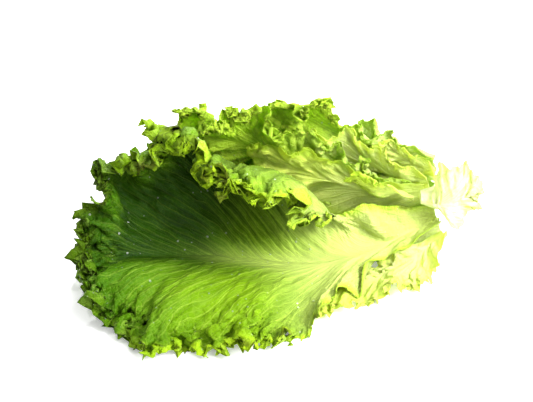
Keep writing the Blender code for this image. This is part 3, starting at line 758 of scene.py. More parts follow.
def blister(grid, measures, size, height, seed, calm):
    """Round swellings between the veins, away from the rib and from the very edge."""
    run, edge, rib = measures
    bump = soft_noise(run[:, None] / size + 0 * edge, rib / (STRETCH * size), seed)
    band = EVERYWHERE + AT_EDGE * np.exp(-(edge / NEAR_EDGE) ** 2)
    lift = height * calm * (SWELL * np.abs(bump) - SINK) * (smooth_step(*OFF_RIB, rib) * band)
    return grid + lift[..., None] * surface_normals(grid)


def teeth(grid, measures, wave, height, seed, calm):
    """Points and nicks in the edge itself, in the plane of the leaf."""
    run, edge, _ = measures
    wander = soft_noise(run / wave / TOOTH_WANDER_LENGTH, 0 * run, seed)
    place = run / wave + TOOTH_WANDER * wander
    part = np.mod(place, 1.0)
    slope = np.where(part < TOOTH_PEAK, part / TOOTH_PEAK, (1.0 - part) / (1.0 - TOOTH_PEAK))
    change = soft_noise(run / wave / TOOTH_CHANGE_LENGTH, 0 * run, seed + 1)
    size = height * calm[:, -1] * (TOOTH_SIZE + TOOTH_CHANGE * change)
    outward = unit(grid[:, -1] - grid[:, -2])
    fade = np.exp(-(edge / (TOOTH_DEPTH * height)) ** 2)
    push = ((TOOTH_OUT * slope ** TOOTH_POINT - TOOTH_IN) * size)[:, None] * fade
    return grid + push[..., None] * outward[:, None, :]


print("a tooth sticks out by", round(TOOTH_OUT - TOOTH_IN, 2), "of its size")

# %% [markdown]
# The front leaf faces the viewer and shows every crease, so it gets the most points. Leaves
# that are hidden behind others get fewer, but still the same kinds of frill. The front leaf's
# upper half is folded towards the viewer: its edge is the liveliest of all, but smooth near
# the base. The heart leaf is let out a little at its lower edge, so that no gap shows between
# it and the front leaf.

# %% How fine each leaf is, and how it is frilled
# Rows along the edge, columns across, strength of the frills, and their size
FINE = {
    "leaf_front": (821, 58, 1.10, 1.0), "leaf_mid": (501, 44, 1.10, 0.85),
    "leaf_heart_large": (321, 36, 0.50, 0.9), "leaf_heart_small": (181, 26, 0.70, 0.7),
    "leaf_back_right_near": (281, 34, 0.85, 0.8), "leaf_back_right_mid": (201, 28, 0.85, 0.8),
    "leaf_back_right_far": (221, 30, 0.38, 0.8), "leaf_top": (361, 40, 0.95, 0.75),
    "leaf_under_right": (321, 34, 0.90, 0.9), "leaf_under_left": (421, 36, 0.80, 0.9),
    "leaf_back_low": (441, 36, 0.90, 0.85), "leaf_back_high": (401, 36, 0.90, 0.8),
}

# Length along the edge and height of each; a ruffle also has its reach and how far it curls over
RUFFLES = ((0.0270, 0.0042, 0.0240, 0.45), (0.0145, 0.0044, 0.0160, 0.75),
           (0.0080, 0.0019, 0.0100, 0.70), (0.0042, 0.0006, 0.0060, 0.50))
BLISTERS = ((0.0150, 0.0018), (0.0085, 0.0013), (0.0046, 0.0007))
TEETH = ((0.0170, 0.0044), (0.0078, 0.0030), (0.0034, 0.0017))
RUFFLE_SEEDS, BLISTER_SEED, TOOTH_SEED = 5, 30, 60

# From where to where along the edge, tip (0) to base (1), the frills of a leaf die away
BASE_SMOOTH = {"leaf_front": (0.42, 0.80), "leaf_heart_large": (0.3, 0.8),
               "leaf_heart_small": (0.3, 0.8)}
USUAL_SMOOTH = (0.75, 0.99)

# The fold of the front leaf: its own strength, where it dies away, and how softly it sets in
FOLD_FRILLS, FOLD_SMOOTH, FOLD_START = 1.5, (0.52, 0.84), (0.04, 0.26)

# How far an edge is let out, and how many times as far in that is felt
LET_OUT, LET_OUT_REACH = {"leaf_heart_large": 0.0075}, 1.5

# Near the top of the head frills are pressed down by this share, so that none stands up alone
TIP_EASE, TIP_BEND = 0.003, 0.65

# The blade of the fine leaf, and how much a point off the rib counts as grown later
FINE_BLADE, OUTWARD_GROWTH = 0.0005, 0.45
print("lengths of the ruffles in mm:", [round(1000 * kind[0], 1) for kind in RUFFLES])

# %% [markdown]
# Frills are strongest where a leaf has air and is far from its base. The blisters come first,
# then the ruffles from the largest to the smallest, and the teeth last, because each of them
# bends what the ones before it have made.

# %% Frill a leaf
def strength_of_frills(name, stops, rows, columns, amount):
    """How strong the frills are at every point, from the leaf's own amount and its air."""
    side = np.linspace(-1.0, 1.0, rows)[:, None]
    calm = amount * (1.0 - smooth_step(*BASE_SMOOTH.get(name, USUAL_SMOOTH), np.abs(side)))
    if name == "leaf_front":
        fold = FOLD_FRILLS * (1.0 - smooth_step(*FOLD_SMOOTH, np.abs(side)))
        calm = calm + smooth_step(*FOLD_START, side) * (fold - calm)
    return calm * fine_air(name, stops, rows, rim_places(columns))


def fine_leaf(name, leaf, seed):
    """The fine middle surface of one leaf, with its measures and its growth from base to tip."""
    rows, columns, amount, scale = FINE[name]
    stops = leaf.get("columns", COLUMNS)
    grid = fine_grid(grids[name], stops, rows, rim_places(columns)) + SHIFT
    measures = leaf_measures(grid)
    calm = strength_of_frills(name, stops, rows, columns, amount)
    rib_line = grid[:rows // 2 + 1, 0].copy()
    up = lengths(rib_line)
    growth = np.concatenate([up, up[-2::-1]])[:, None] + OUTWARD_GROWTH * measures[2]
    if name in LET_OUT:
        side = np.linspace(-1.0, 1.0, rows)[:, None]
        fade = np.exp(-(measures[1] / (LET_OUT_REACH * LET_OUT[name])) ** 2)
        fade = fade * (side < 0) * np.sin(np.pi * np.abs(side))
        outward = unit(grid[:, -1] - grid[:, -2])
        grid = grid + LET_OUT[name] * fade[..., None] * outward[:, None, :]
    for order, (size, height) in enumerate(BLISTERS):
        grid = blister(grid, measures, size * scale, height * scale,
                       seed + BLISTER_SEED + order, calm)
    for order, (wave, height, reach, curl) in enumerate(RUFFLES):
        grid = ruffle(grid, measures, wave * scale, height * scale, reach, curl,
                      seed + RUFFLE_SEEDS * order, calm)
    for order, (wave, height) in enumerate(TEETH):
        grid = teeth(grid, measures, wave * scale, height, seed + TOOTH_SEED + order, calm)
    grid[..., 2] -= TIP_BEND * np.maximum(grid[..., 2] - (high[2] - TIP_EASE), 0.0)
    grid[..., 2] = np.maximum(grid[..., 2], FINE_BLADE)
    return grid, measures, growth / growth.max(), rib_line


print("a leaf gets", len(BLISTERS) + len(RUFFLES) + len(TEETH), "layers of frills")

# %% [markdown]
# Veins sweep out from the rib and run on to the edge. To draw them, each point gets a value
# that stays the same along a vein. It is the run along the edge, less a sweep that grows
# quickly near the rib, as real veins leave the rib at a sharp angle. Where that value changes
# fast, the veins lie close together, and the shader has to know that.

# %% The fan of the veins
# How far a vein sweeps towards the tip, and how far from the rib that is
VEIN_SWEEP, VEIN_REACH, VEIN_ROOT = 0.080, 0.060, 0.002
LEAN_MOST, STEEP_LEAST = 0.95, 0.2


def vein_fan(grid, run, rib):
    """A value that stays the same along a vein, and how wide a millimetre of it is on the leaf."""
    sweep = VEIN_SWEEP * np.sqrt(rib / VEIN_REACH + VEIN_ROOT)
    fan = np.minimum(run, run[-1] - run)[:, None] - sweep
    one, two = np.gradient(grid, axis=0), np.gradient(grid, axis=1)
    step_one = np.maximum(np.linalg.norm(one, axis=-1), 1e-6)
    step_two = np.maximum(np.linalg.norm(two, axis=-1), 1e-6)
    rise_one = np.gradient(fan, axis=0) / step_one
    rise_two = np.gradient(fan, axis=1) / step_two
    lean = (one * two).sum(axis=-1) / (step_one * step_two)
    lean = np.clip(lean, -LEAN_MOST, LEAN_MOST)
    steep = (rise_one ** 2 + rise_two ** 2 - 2 * lean * rise_one * rise_two) / (1 - lean ** 2)
    return fan, 1.0 / np.sqrt(np.maximum(steep, STEEP_LEAST))


print("a vein sweeps", 1000 * VEIN_SWEEP, "mm along the leaf on its way out")

# %% [markdown]
# A leaf is a closed thin solid with a thick rib on its back. Both faces take their points
# from the middle surface. Along with the shape, each point keeps how far it is from the rib,
# the edge and the base, because the colours of the leaf follow those distances.

# %% Build a leaf
# Every eighth point of the fine rib is enough to tell how near the rib is. The room of the
# veins, how wide a millimetre of their fan is on the leaf, counts up to a largest value.
FINE_RIB_STEP, ROOM_MOST = 8, 1.5


def add_object(name, data):
    """A new object in the scene."""
    thing = bpy.data.objects.new(name, data)
    bpy.context.scene.collection.objects.link(thing)
    return thing


def leaf_piece(name, leaf, seed):
    """One leaf as a closed mesh that carries its distances as named values."""
    grid, (run, edge, rib), growth, rib_line = fine_leaf(name, leaf, seed)
    rows, columns = edge.shape
    thick = thickness(grid, rib_line[::FINE_RIB_STEP], FINE_BLADE, leaf["depth"])
    outer = grid - surface_normals(grid) * thick[..., None]
    outer[..., 2] = np.maximum(outer[..., 2], 0.0)
    place = np.arange(rows * columns).reshape(rows, columns)
    place[rows // 2 + 1:, 0] = place[:rows // 2, 0][::-1]
    skin = np.stack([place[:-1, :-1], place[1:, :-1], place[1:, 1:], place[:-1, 1:]], axis=-1)
    skin = skin.reshape(-1, 4)
    ring = np.concatenate([place[:, -1], place[-1, -2::-1], place[0, 1:]])
    count = rows * columns
    wall = np.stack([ring[:-1], ring[1:], ring[1:] + count, ring[:-1] + count], axis=-1)
    faces = np.concatenate([skin[:, ::-1], skin + count, wall])
    used, again = np.unique(faces, return_inverse=True)
    spots = np.concatenate([grid.reshape(-1, 3), outer.reshape(-1, 3)])[used]
    mesh = bpy.data.meshes.new(name + "_leaf")
    mesh.from_pydata(spots.tolist(), [], again.reshape(-1, 4).tolist())
    fan, room = vein_fan(grid, run, rib)
    values = {"growth": growth, "edge_mm": 1000 * edge, "rib_mm": 1000 * rib,
              "run_mm": 1000 * fan, "room": np.clip(room, 0.0, ROOM_MOST), "back": 0 * edge,
              "side_mm": 1000 * rib * np.sign(np.linspace(-1.0, 1.0, rows))[:, None]}
    for label, value in values.items():
        both = np.concatenate([value.ravel(), value.ravel()])
        if label == "back":
            both[count:] = 1.0
        mesh.attributes.new(label, "FLOAT", "POINT").data.foreach_set("value", both[used])
    mesh.update()
    mesh.shade_smooth()
    return add_object(name + "_leaf", mesh)


print("the fine blade is", 1000 * FINE_BLADE, "mm thick, between its ribs")

# %% [markdown]
# Every leaf is built by the same steps. Only its grid, its fineness and its seed differ, so
# that no two leaves carry the same frills.

# %% Grow every leaf
pieces = {}
total = 0
for order, (name, leaf) in enumerate(LEAVES.items()):
    pieces[name] = leaf_piece(name, leaf, 100 * order)
    faces = len(pieces[name].data.polygons)
    total += 2 * faces
    print(name, "has", 2 * faces, "triangles")
print("all leaves have", total, "triangles")

# %% [markdown]
# The finish of a leaf is made of several effects that every leaf shares: vein lines, a fine
# net of veins, the change of tone from base to tip, and drops of water. Each is a node group,
# built once, and each leaf's material gives it its own values.

# %% Helpers for shader nodes
def make_group(name, takes, gives):
    """An empty shader group, the sockets of its inputs and those of its outputs."""
    group = bpy.data.node_groups.new(name, "ShaderNodeTree")
    for label, kind, value in takes:
        socket = group.interface.new_socket(name=label, in_out="INPUT", socket_type=kind)
        socket.default_value = value
    for label, kind in gives:
        group.interface.new_socket(name=label, in_out="OUTPUT", socket_type=kind)
    take, give = group.nodes.new("NodeGroupInput"), group.nodes.new("NodeGroupOutput")
    return group, take.outputs, give.inputs


def wire(tree, value, socket):
    """Link a socket to another, or set it to a plain value."""
    if isinstance(value, bpy.types.NodeSocket):
        tree.links.new(value, socket)
    else:
        socket.default_value = value


def add_node(tree, kind, group=None, **given):
    """A node with its inputs wired or set. An underscore in an input's name is a space."""
    node = tree.nodes.new(kind)
    if group:
        node.node_tree = group
    for label, value in given.items():
        wire(tree, value, node.inputs[label.replace("_", " ")])
    return node


def calc(tree, what, *values):
    """A Math node."""
    node = tree.nodes.new("ShaderNodeMath")
    node.operation = what
    for socket, value in zip(node.inputs, values):
        wire(tree, value, socket)
    return node.outputs[0]


def times(tree, one, two):
    """A Math node that multiplies."""
    return calc(tree, "MULTIPLY", one, two)


def ramp(tree, value, low, high, start=0.0, end=1.0):
    """A soft rise from start to end while the value goes from low to high."""
    node = tree.nodes.new("ShaderNodeMapRange")
    node.interpolation_type = "SMOOTHSTEP"
    for socket, given in zip(node.inputs, (value, low, high, start, end)):
        wire(tree, given, socket)
    return node.outputs[0]


def blend(tree, share, one, two, how="MIX"):
    """A colour Mix node."""
    node = tree.nodes.new("ShaderNodeMix")
    node.data_type = "RGBA"
    node.blend_type = how
    for label, given in (("Factor_Float", share), ("A_Color", one), ("B_Color", two)):
        wire(tree, given, next(s for s in node.inputs if s.identifier == label))
    return next(s for s in node.outputs if s.identifier == "Result_Color")


def object_place(tree):
    """The object's own coordinates."""
    return tree.nodes.new("ShaderNodeTexCoord").outputs["Object"]


def cells(tree, scale, feature):
    """A Voronoi node on the object's own coordinates."""
    node = add_node(tree, "ShaderNodeTexVoronoi", Scale=scale, Vector=object_place(tree))
    node.feature = feature
    return node


def clouds(tree, scale, detail=2.0, place=None):
    """A Noise node, on the object's own coordinates unless a place is given."""
    place = object_place(tree) if place is None else place
    node = add_node(tree, "ShaderNodeTexNoise", Scale=scale, Detail=detail, Vector=place)
    return node.outputs["Fac"]


FLOAT, COLOUR = "NodeSocketFloat", "NodeSocketColor"
print("kinds of socket used by the groups:", FLOAT, COLOUR)

# %% [markdown]
# Veins of a lettuce leave the rib side by side and fan out to the edge. They are drawn at
# even steps of the fan's value. Near the rib the same lines crowd together, and the value
# called room, which says how close they are, keeps their width right in millimetres. Two
# clouds of noise, a small and a wide one, let the lines wander, because even spacing would
# look like hatching.

# %% Vein lines as a node group
veins, take, give = make_group(
    "Fanning veins",
    (("Run", FLOAT, 0.0), ("Room", FLOAT, 1.0), ("Step", FLOAT, 15.0), ("Width", FLOAT, 1.0)),
    (("Mask", FLOAT),))
run, room, step, width = [take[label] for label in ("Run", "Room", "Step", "Width")]
wander = calc(veins, "ADD", times(veins, clouds(veins, 45.0), 0.9),
              times(veins, clouds(veins, 14.0, 1.0), 3.5))
place = calc(veins, "ADD", calc(veins, "DIVIDE", run, step), wander)
off = calc(veins, "ABSOLUTE", calc(veins, "SUBTRACT", calc(veins, "FRACT", place), 0.5))
away = times(veins, times(veins, off, step), room)
line = times(veins, ramp(veins, away, 0.0, width, 1.0, 0.0), ramp(veins, room, 0.04, 0.22))
wire(veins, line, give["Mask"])
print("group made:", veins.name)

# %% [markdown]
# Between the lines runs a net of very fine veins, and the skin swells a little in every mesh
# of the net. The borders of Voronoi cells look just like that.

# %% The fine net as a node group
net, take, give = make_group(
    "Fine vein net", (("Width", FLOAT, 0.10),), (("Mask", FLOAT), ("Swell", FLOAT)))
width = take["Width"]
border = cells(net, 210.0, "DISTANCE_TO_EDGE").outputs["Distance"]
small = cells(net, 520.0, "DISTANCE_TO_EDGE").outputs["Distance"]
line = calc(net, "MAXIMUM", ramp(net, border, 0.0, width, 1.0, 0.0),
            ramp(net, small, 0.0, width, 0.5, 0.0))
wire(net, line, give["Mask"])
wire(net, calc(net, "ADD", times(net, border, 2.2), times(net, small, 0.6)), give["Swell"])
print("group made:", net.name)

# %% [markdown]
# A leaf is nearly white where it grew in the dark, close to the base and on the rib. It turns
# yellow-green and then deep green towards the tip. This group holds all tones of a leaf. Its
# first part blends the base, the blade and the tip by growth, which is 0 at the base and 1 at
# the tip.

# %% Tones of a leaf: from base to tip
WHITE = (0.86, 0.90, 0.52, 1.0)
tones, take, give = make_group(
    "Leaf tones",
    (("Growth", FLOAT, 0.5), ("Edge", FLOAT, 20.0), ("Rib", FLOAT, 20.0), ("Veins", FLOAT, 0.0),
     ("Net", FLOAT, 0.0), ("Back", FLOAT, 0.0), ("Base tone", COLOUR, WHITE),
     ("Blade tone", COLOUR, WHITE), ("Tip tone", COLOUR, WHITE), ("Edge tone", COLOUR, WHITE),
     ("Start", FLOAT, 0.15), ("End", FLOAT, 0.9), ("Hollow", FLOAT, 0.0), ("Side", FLOAT, 0.0),
     ("Wilt", FLOAT, 0.0), ("Run", FLOAT, 0.0)),
    (("Colour", COLOUR),))
growth, edge, rib, side = [take[label] for label in ("Growth", "Edge", "Rib", "Side")]
half = times(tones, calc(tones, "ADD", take["Start"], take["End"]), 0.5)
early = ramp(tones, growth, take["Start"], half)
late = ramp(tones, growth, half, take["End"])
colour = blend(tones, early, take["Base tone"], take["Blade tone"])
colour = blend(tones, late, colour, take["Tip tone"])
print("inputs of the group:", len(take) - 1)

# %% [markdown]
# The front leaf is a deep trough, and its hollow is nearly black-green in the photograph.
# Shade alone can't do that on a lit stage, so shade is painted into the tone itself, over the
# leaf's own deep green: the painted shade is darkest past the first half of the growth, above
# the lower half, and well in from the edge, except right at the tip.

# %% Tones of a leaf: painted shade in the hollow
# Painted shade: this mask darkens the front leaf's hollow to a near-black green
# Ranges over growth, millimetres to the side of the rib, and millimetres from the edge
hollow_shade = times(tones, ramp(tones, growth, 0.42, 0.74), ramp(tones, side, -56.0, -12.0, 0.0, 0.95))
inner = calc(tones, "MAXIMUM", ramp(tones, edge, 11.0, 36.0),
             ramp(tones, growth, 0.84, 0.97, 0.0, 0.75))
hollow_shade = times(tones, times(tones, hollow_shade, inner), take["Hollow"])
HOLLOW_SHADE_TONE = (0.006, 0.030, 0.0006, 1.0)
colour = blend(tones, hollow_shade, colour, HOLLOW_SHADE_TONE)
print("darkest tone:", HOLLOW_SHADE_TONE[:3])

# %% [markdown]
# Between two veins a leaf is now lighter, now darker. Noise that is stretched along the fan
# gives such streaks. Round clouds of the tip's own tone break them up.

# %% Tones of a leaf: streaks and patches
ACROSS_VEINS, ALONG_VEINS = 0.11, 5.0
along = add_node(tones, "ShaderNodeCombineXYZ", X=times(tones, take["Run"], ACROSS_VEINS),
                 Y=times(tones, growth, ALONG_VEINS))
streak = clouds(tones, 1.0, 3.0, along.outputs[0])
shade = blend(tones, ramp(tones, streak, 0.34, 0.66), (0.62, 0.66, 0.55, 1.0),
              (1.28, 1.24, 1.30, 1.0))
streaky = times(tones, ramp(tones, growth, 0.15, 0.55), ramp(tones, side, -45.0, 0.0, 0.45, 1.0))
colour = blend(tones, streaky, colour, blend(tones, 1.0, colour, shade, "MULTIPLY"))
patch = times(tones, ramp(tones, clouds(tones, 55.0, 4.0), 0.40, 0.75, 0.0, 0.35),
              calc(tones, "MULTIPLY_ADD", hollow_shade, -0.6, 1.0))
colour = blend(tones, patch, colour, take["Tip tone"])
print("a streak is about", round(1.0 / ACROSS_VEINS), "mm wide")

# %% [markdown]
# The last millimetres of the edge are thin and shine lighter, apart from the far end of the
# front leaf. The skin next to the rib is pale, and less so towards the tip. Veins and net are
# drawn over that, quietly in the hollow and more clearly in a light streak.

# %% Tones of a leaf: rim, rib and veins
dull = times(tones, ramp(tones, growth, 0.76, 0.92, 0.0, 0.85), take["Hollow"])
thin = times(tones, ramp(tones, edge, 0.0, 9.0, 0.80, 0.0), calc(tones, "SUBTRACT", 1.0, dull))
colour = blend(tones, thin, colour, take["Edge tone"])
pale = times(tones, ramp(tones, rib, 1.0, 22.0, 0.8, 0.0),
             ramp(tones, growth, 0.15, 0.80, 1.0, 0.0))
colour = blend(tones, pale, colour, take["Base tone"])
VEIN_TONE, NET_SHARE = (0.56, 0.74, 0.10, 1.0), 0.4
show = times(tones, ramp(tones, growth, 0.40, 0.95, 0.30, 0.15),
             calc(tones, "MULTIPLY_ADD", hollow_shade, -0.80, 1.0))
show = times(tones, show, ramp(tones, streak, 0.30, 0.60, 0.35, 1.0))
colour = blend(tones, times(tones, take["Veins"], show), colour, VEIN_TONE)
meshes = times(tones, take["Net"], times(tones, show, NET_SHARE))
colour = blend(tones, meshes, colour, VEIN_TONE)
print("veins have the tone", VEIN_TONE[:3])

# %% [markdown]
# The back of a leaf is a little duller than its face. And where an outer leaf has begun to
# wilt, small spots of its rim are brown and dry.

# %% Tones of a leaf: back and dry spots
BACK_TONE, DRY_TONE = (0.40, 0.56, 0.10, 1.0), (0.035, 0.022, 0.008, 1.0)
colour = blend(tones, times(tones, take["Back"], 0.15), colour, BACK_TONE)
dry = times(tones, ramp(tones, clouds(tones, 38.0, 3.0), 0.60, 0.65),
            ramp(tones, edge, 1.0, 5.0, 1.0, 0.0))
colour = blend(tones, times(tones, dry, take["Wilt"]), colour, DRY_TONE)
wire(tones, colour, give["Colour"])
print("group made:", tones.name, "with", len(tones.nodes), "nodes")

# %% [markdown]
# The head was rinsed, and small beads of water stand on the skin. A bead is a round cap: a
# bump that is highest in the middle of a cell, on some of the cells only.

# %% Water beads as a node group
beads, take, give = make_group(
    "Water beads", (("Amount", FLOAT, 0.3),), (("Mask", FLOAT), ("Height", FLOAT)))
drop = cells(beads, 200.0, "F1")
split = add_node(beads, "ShaderNodeSeparateColor", Color=drop.outputs["Color"]).outputs
wanted = calc(beads, "LESS_THAN", split[0], take["Amount"])
size = calc(beads, "MULTIPLY_ADD", split[1], 0.12, 0.07)
cap = calc(beads, "SUBTRACT", 1.0, calc(beads, "DIVIDE", drop.outputs["Distance"], size))
cap = calc(beads, "MAXIMUM", cap, 0.0)
wire(beads, times(beads, calc(beads, "SQRT", cap), wanted), give["Height"])
wire(beads, times(beads, calc(beads, "GREATER_THAN", cap, 0.0), wanted), give["Mask"])
print("group made:", beads.name)

# %% [markdown]
# The material of a leaf puts the groups together. Light also passes through a leaf, so the
# glossy skin is mixed with a see-through-green one, which shows most where a leaf is lit from
# behind. Water is smoother than skin, so a bead takes away most of the roughness and adds a
# clear coat.

# %% Values of the leaf materials
# How wilted a leaf is, how strongly its net of veins stands out, and how much light passes
WILT = {"leaf_under_left": 1.0, "leaf_front": 0.7}
RELIEF = {"leaf_front": 1.0, "leaf_heart_large": 0.25, "leaf_heart_small": 0.25,
          "leaf_back_right_near": 0.3, "leaf_back_right_mid": 0.3, "leaf_back_right_far": 0.25,
          "leaf_under_right": 0.4, "leaf_top": 1.0, "leaf_back_high": 1.0, "leaf_mid": 0.9}
THROUGH = {"leaf_front": 0.07, "leaf_under_left": 0.12, "leaf_back_high": 0.30, "leaf_top": 0.30,
           "leaf_heart_large": 0.54, "leaf_mid": 0.44, "leaf_back_right_near": 0.5,
           "leaf_back_right_mid": 0.5}
USUAL_RELIEF, USUAL_THROUGH = 0.8, 0.36

# Steps between large and small veins and their widths, in millimetres
VEIN_STEP, VEIN_WIDTH, SMALL_STEP, SMALL_WIDTH, SMALL_SHARE = 13.0, 0.9, 4.4, 0.42, 0.6
SKIN_ROUGHNESS, BEAD_SMOOTHS, BEAD_HIGHLIGHT_SHARE = 0.46, 0.38, 0.14
VEIN_SINKS, BEAD_RISES, BEAD_HIGHLIGHT_TONE = -0.35, 0.9, (0.90, 0.95, 0.88, 1.0)
print("share of light that passes through the front leaf:", THROUGH["leaf_front"])

# %% [markdown]
# The colour comes from the group of tones, and a painted highlight on each bead of water
# lightens it a little. The bump is one height that is added up from three: swollen meshes,
# sunken veins and standing beads.

# %% The material of a leaf
def group_node(tree, group, **given):
    """The outputs of a group node with its inputs wired or set."""
    return add_node(tree, "ShaderNodeGroup", group, **given).outputs


def leaf_colour(tree, leaf, read, lines, mesh, base, blade, tip, edge, start, end):
    """The colour of a leaf's dry skin, with painted shade in the hollow of the front leaf."""
    return group_node(
        tree, tones, Growth=read("growth"), Edge=read("edge_mm"), Rib=read("rib_mm"),
        Veins=lines, Net=mesh["Mask"], Back=read("back"), Base_tone=(*base, 1.0),
        Blade_tone=(*blade, 1.0), Tip_tone=(*tip, 1.0), Edge_tone=(*edge, 1.0),
        Start=start, End=end, Side=read("side_mm"), Run=read("run_mm"),
        Hollow=float(leaf == "leaf_front"), Wilt=WILT.get(leaf, 0.0))["Colour"]


def leaf_bump(tree, leaf, read, lines, mesh, water):
    """The bump of a leaf's skin: meshes swell, veins lie deeper, and beads stand up."""
    relief = ramp(tree, read("edge_mm"), 8.0, 55.0, RELIEF.get(leaf, USUAL_RELIEF), 0.2)
    height = calc(tree, "ADD", times(tree, mesh["Swell"], relief), times(tree, lines, VEIN_SINKS))
    height = calc(tree, "ADD", height, times(tree, water["Height"], BEAD_RISES))
    return add_node(tree, "ShaderNodeBump", Distance=0.0013, Strength=0.8, Height=height).outputs[0]


def new_material(name):
    """A new material and its node tree."""
    material = bpy.data.materials.new(name)
    material.use_nodes = True
    return material, material.node_tree


def leaf_material(leaf, base, blade, tip, edge, glow, start, end, amount):
    """A leaf's skin with its own tones, and how wet it is."""
    material, tree = new_material(leaf + "_skin")
    tree.nodes.clear()

    def read(label):
        node = tree.nodes.new("ShaderNodeAttribute")
        node.attribute_name = label
        return node.outputs["Fac"]

    run, room = read("run_mm"), read("room")
    main = group_node(tree, veins, Run=run, Room=room, Step=VEIN_STEP, Width=VEIN_WIDTH)["Mask"]
    side = group_node(tree, veins, Run=run, Room=room, Step=SMALL_STEP, Width=SMALL_WIDTH)["Mask"]
    lines = calc(tree, "MAXIMUM", main, times(tree, side, SMALL_SHARE))
    mesh = group_node(tree, net, Width=0.10)
    water = group_node(tree, beads, Amount=amount)
    bump = leaf_bump(tree, leaf, read, lines, mesh, water)
    colour = leaf_colour(tree, leaf, read, lines, mesh, base, blade, tip, edge, start, end)
    # Painted highlight: each bead of water lightens the colour towards a near-white tone
    colour = blend(tree, times(tree, water["Mask"], BEAD_HIGHLIGHT_SHARE), colour, BEAD_HIGHLIGHT_TONE)
    skin = add_node(
        tree, "ShaderNodeBsdfPrincipled", Base_Color=colour, Specular_IOR_Level=0.06,
        Coat_Weight=water["Mask"], Coat_Roughness=0.06, Normal=bump,
        Roughness=calc(tree, "SUBTRACT", SKIN_ROUGHNESS, times(tree, water["Mask"], BEAD_SMOOTHS)))
    through = add_node(tree, "ShaderNodeBsdfTranslucent", Color=(*glow, 1.0), Normal=bump)
    mix = tree.nodes.new("ShaderNodeMixShader")
    mix.inputs[0].default_value = THROUGH.get(leaf, USUAL_THROUGH)
    tree.links.new(skin.outputs[0], mix.inputs[1])
    tree.links.new(through.outputs[0], mix.inputs[2])
    add_node(tree, "ShaderNodeOutputMaterial", Surface=mix.outputs[0])
    return material


print("groups in every leaf's material:", [group.name for group in (veins, net, tones, beads)])

# %% [markdown]
# The inner leaves stay pale and yellow, because little light reaches them. The outer ones are
# deep green. Each leaf gets a tone for its base, its blade, its tip and its rim, and for the
# light that comes through it.

# %% Tones of every leaf
CREAM, LIME, MID = (0.80, 0.86, 0.34), (0.48, 0.66, 0.05), (0.17, 0.35, 0.008)
DEEP, BRIGHT = (0.040, 0.130, 0.002), (0.36, 0.56, 0.010)
GLOW, GLOW_PALE = (0.52, 0.78, 0.008), (0.90, 0.96, 0.20)
GLOW_DEEP, YOLK = (0.22, 0.38, 0.002), (0.68, 0.82, 0.13)
# Near-white: the pale tissue by the base, made lighter still as painted glare of the lamp on the
# right
CHALK_AND_GLARE = (0.88, 0.91, 0.55)

# Tones of base, blade, tip and rim, light that comes through, where in the growth the blade's
# tone starts and the tip's is reached, how many cells carry a bead, and the slot
LOOKS = {
    "leaf_front": ((0.50, 0.58, 0.16), (0.15, 0.29, 0.003), (0.040, 0.13, 0.0010), BRIGHT,
                   GLOW_DEEP, 0.24, 0.95, 0.45, "leaf_green"),
    "leaf_mid": (CREAM, LIME, (0.42, 0.64, 0.025), LIME, GLOW, 0.22, 1.10, 0.15, "leaf_green"),
    "leaf_heart_large": (CREAM, (0.76, 0.86, 0.20), (0.58, 0.74, 0.08), BRIGHT, GLOW_PALE,
                         0.3, 1.2, 0.12, "leaf_pale"),
    "leaf_heart_small": (CREAM, YOLK, LIME, BRIGHT, GLOW_PALE, 0.1, 1.3, 0.10, "leaf_pale"),
    "leaf_back_right_near": (CREAM, CREAM, YOLK, YOLK, GLOW_PALE, 0.2, 1.1, 0.1, "leaf_pale"),
    "leaf_back_right_mid": (CREAM, CREAM, YOLK, YOLK, GLOW_PALE, 0.2, 1.2, 0.1, "leaf_pale"),
    "leaf_back_right_far": (CHALK_AND_GLARE, CHALK_AND_GLARE, CREAM, CREAM, GLOW_PALE, 0.2, 1.2, 0.1, "leaf_pale"),
    "leaf_top": (CREAM, (0.46, 0.66, 0.04), (0.30, 0.52, 0.015), LIME, GLOW, 0.34, 1.1, 0.2,
                 "leaf_dark"),
    "leaf_under_right": (CREAM, YOLK, LIME, YOLK, GLOW_PALE, 0.1, 1.3, 0.1, "leaf_yellow"),
    "leaf_under_left": (CREAM, MID, DEEP, MID, GLOW, 0.0, 0.8, 0.2, "leaf_dark"),
    "leaf_back_low": (CREAM, MID, DEEP, MID, GLOW, 0.0, 0.8, 0.1, "leaf_dark"),
    "leaf_back_high": (CREAM, (0.42, 0.62, 0.03), (0.26, 0.46, 0.012), BRIGHT, GLOW, 0.36, 1.1,
                       0.1, "leaf_dark"),
}
for name, (*tones_of, slot) in LOOKS.items():
    piece = pieces[name]
    piece.data.materials.append(leaf_material(name, *tones_of))
    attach(piece, "root")
    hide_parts(name)
print(len(LOOKS), "leaves have their skin")

# %% [markdown]
# The stem was cut across with a knife. Its flesh is pale and wet, with fibres that run in
# rings under the skin, and the cut turns a little brown as it dries.

# %% The cut stem
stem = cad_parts["stem"]
flesh, tree = new_material("stem_flesh")
skin = tree.nodes["Principled BSDF"]
fibres = cells(tree, 420.0, "F1").outputs["Distance"]
brown = ramp(tree, clouds(tree, 130.0, 4.0), 0.45, 0.75, 0.0, 0.5)
flesh_tone = blend(tree, brown, (0.70, 0.77, 0.34, 1.0), (0.60, 0.50, 0.20, 1.0))
bump = add_node(tree, "ShaderNodeBump", Distance=0.0006, Height=fibres)
wire(tree, flesh_tone, skin.inputs["Base Color"])
wire(tree, calc(tree, "MULTIPLY_ADD", fibres, 0.3, 0.3), skin.inputs["Roughness"])
wire(tree, bump.outputs[0], skin.inputs["Normal"])
stem.data.materials.clear()
stem.data.materials.append(flesh)

# %% [markdown]
# The head lies on plain white paper, as in the photograph. The paper gives off a little light
# of its own, so that it stays white, and a faint grain keeps it from being one flat colour.

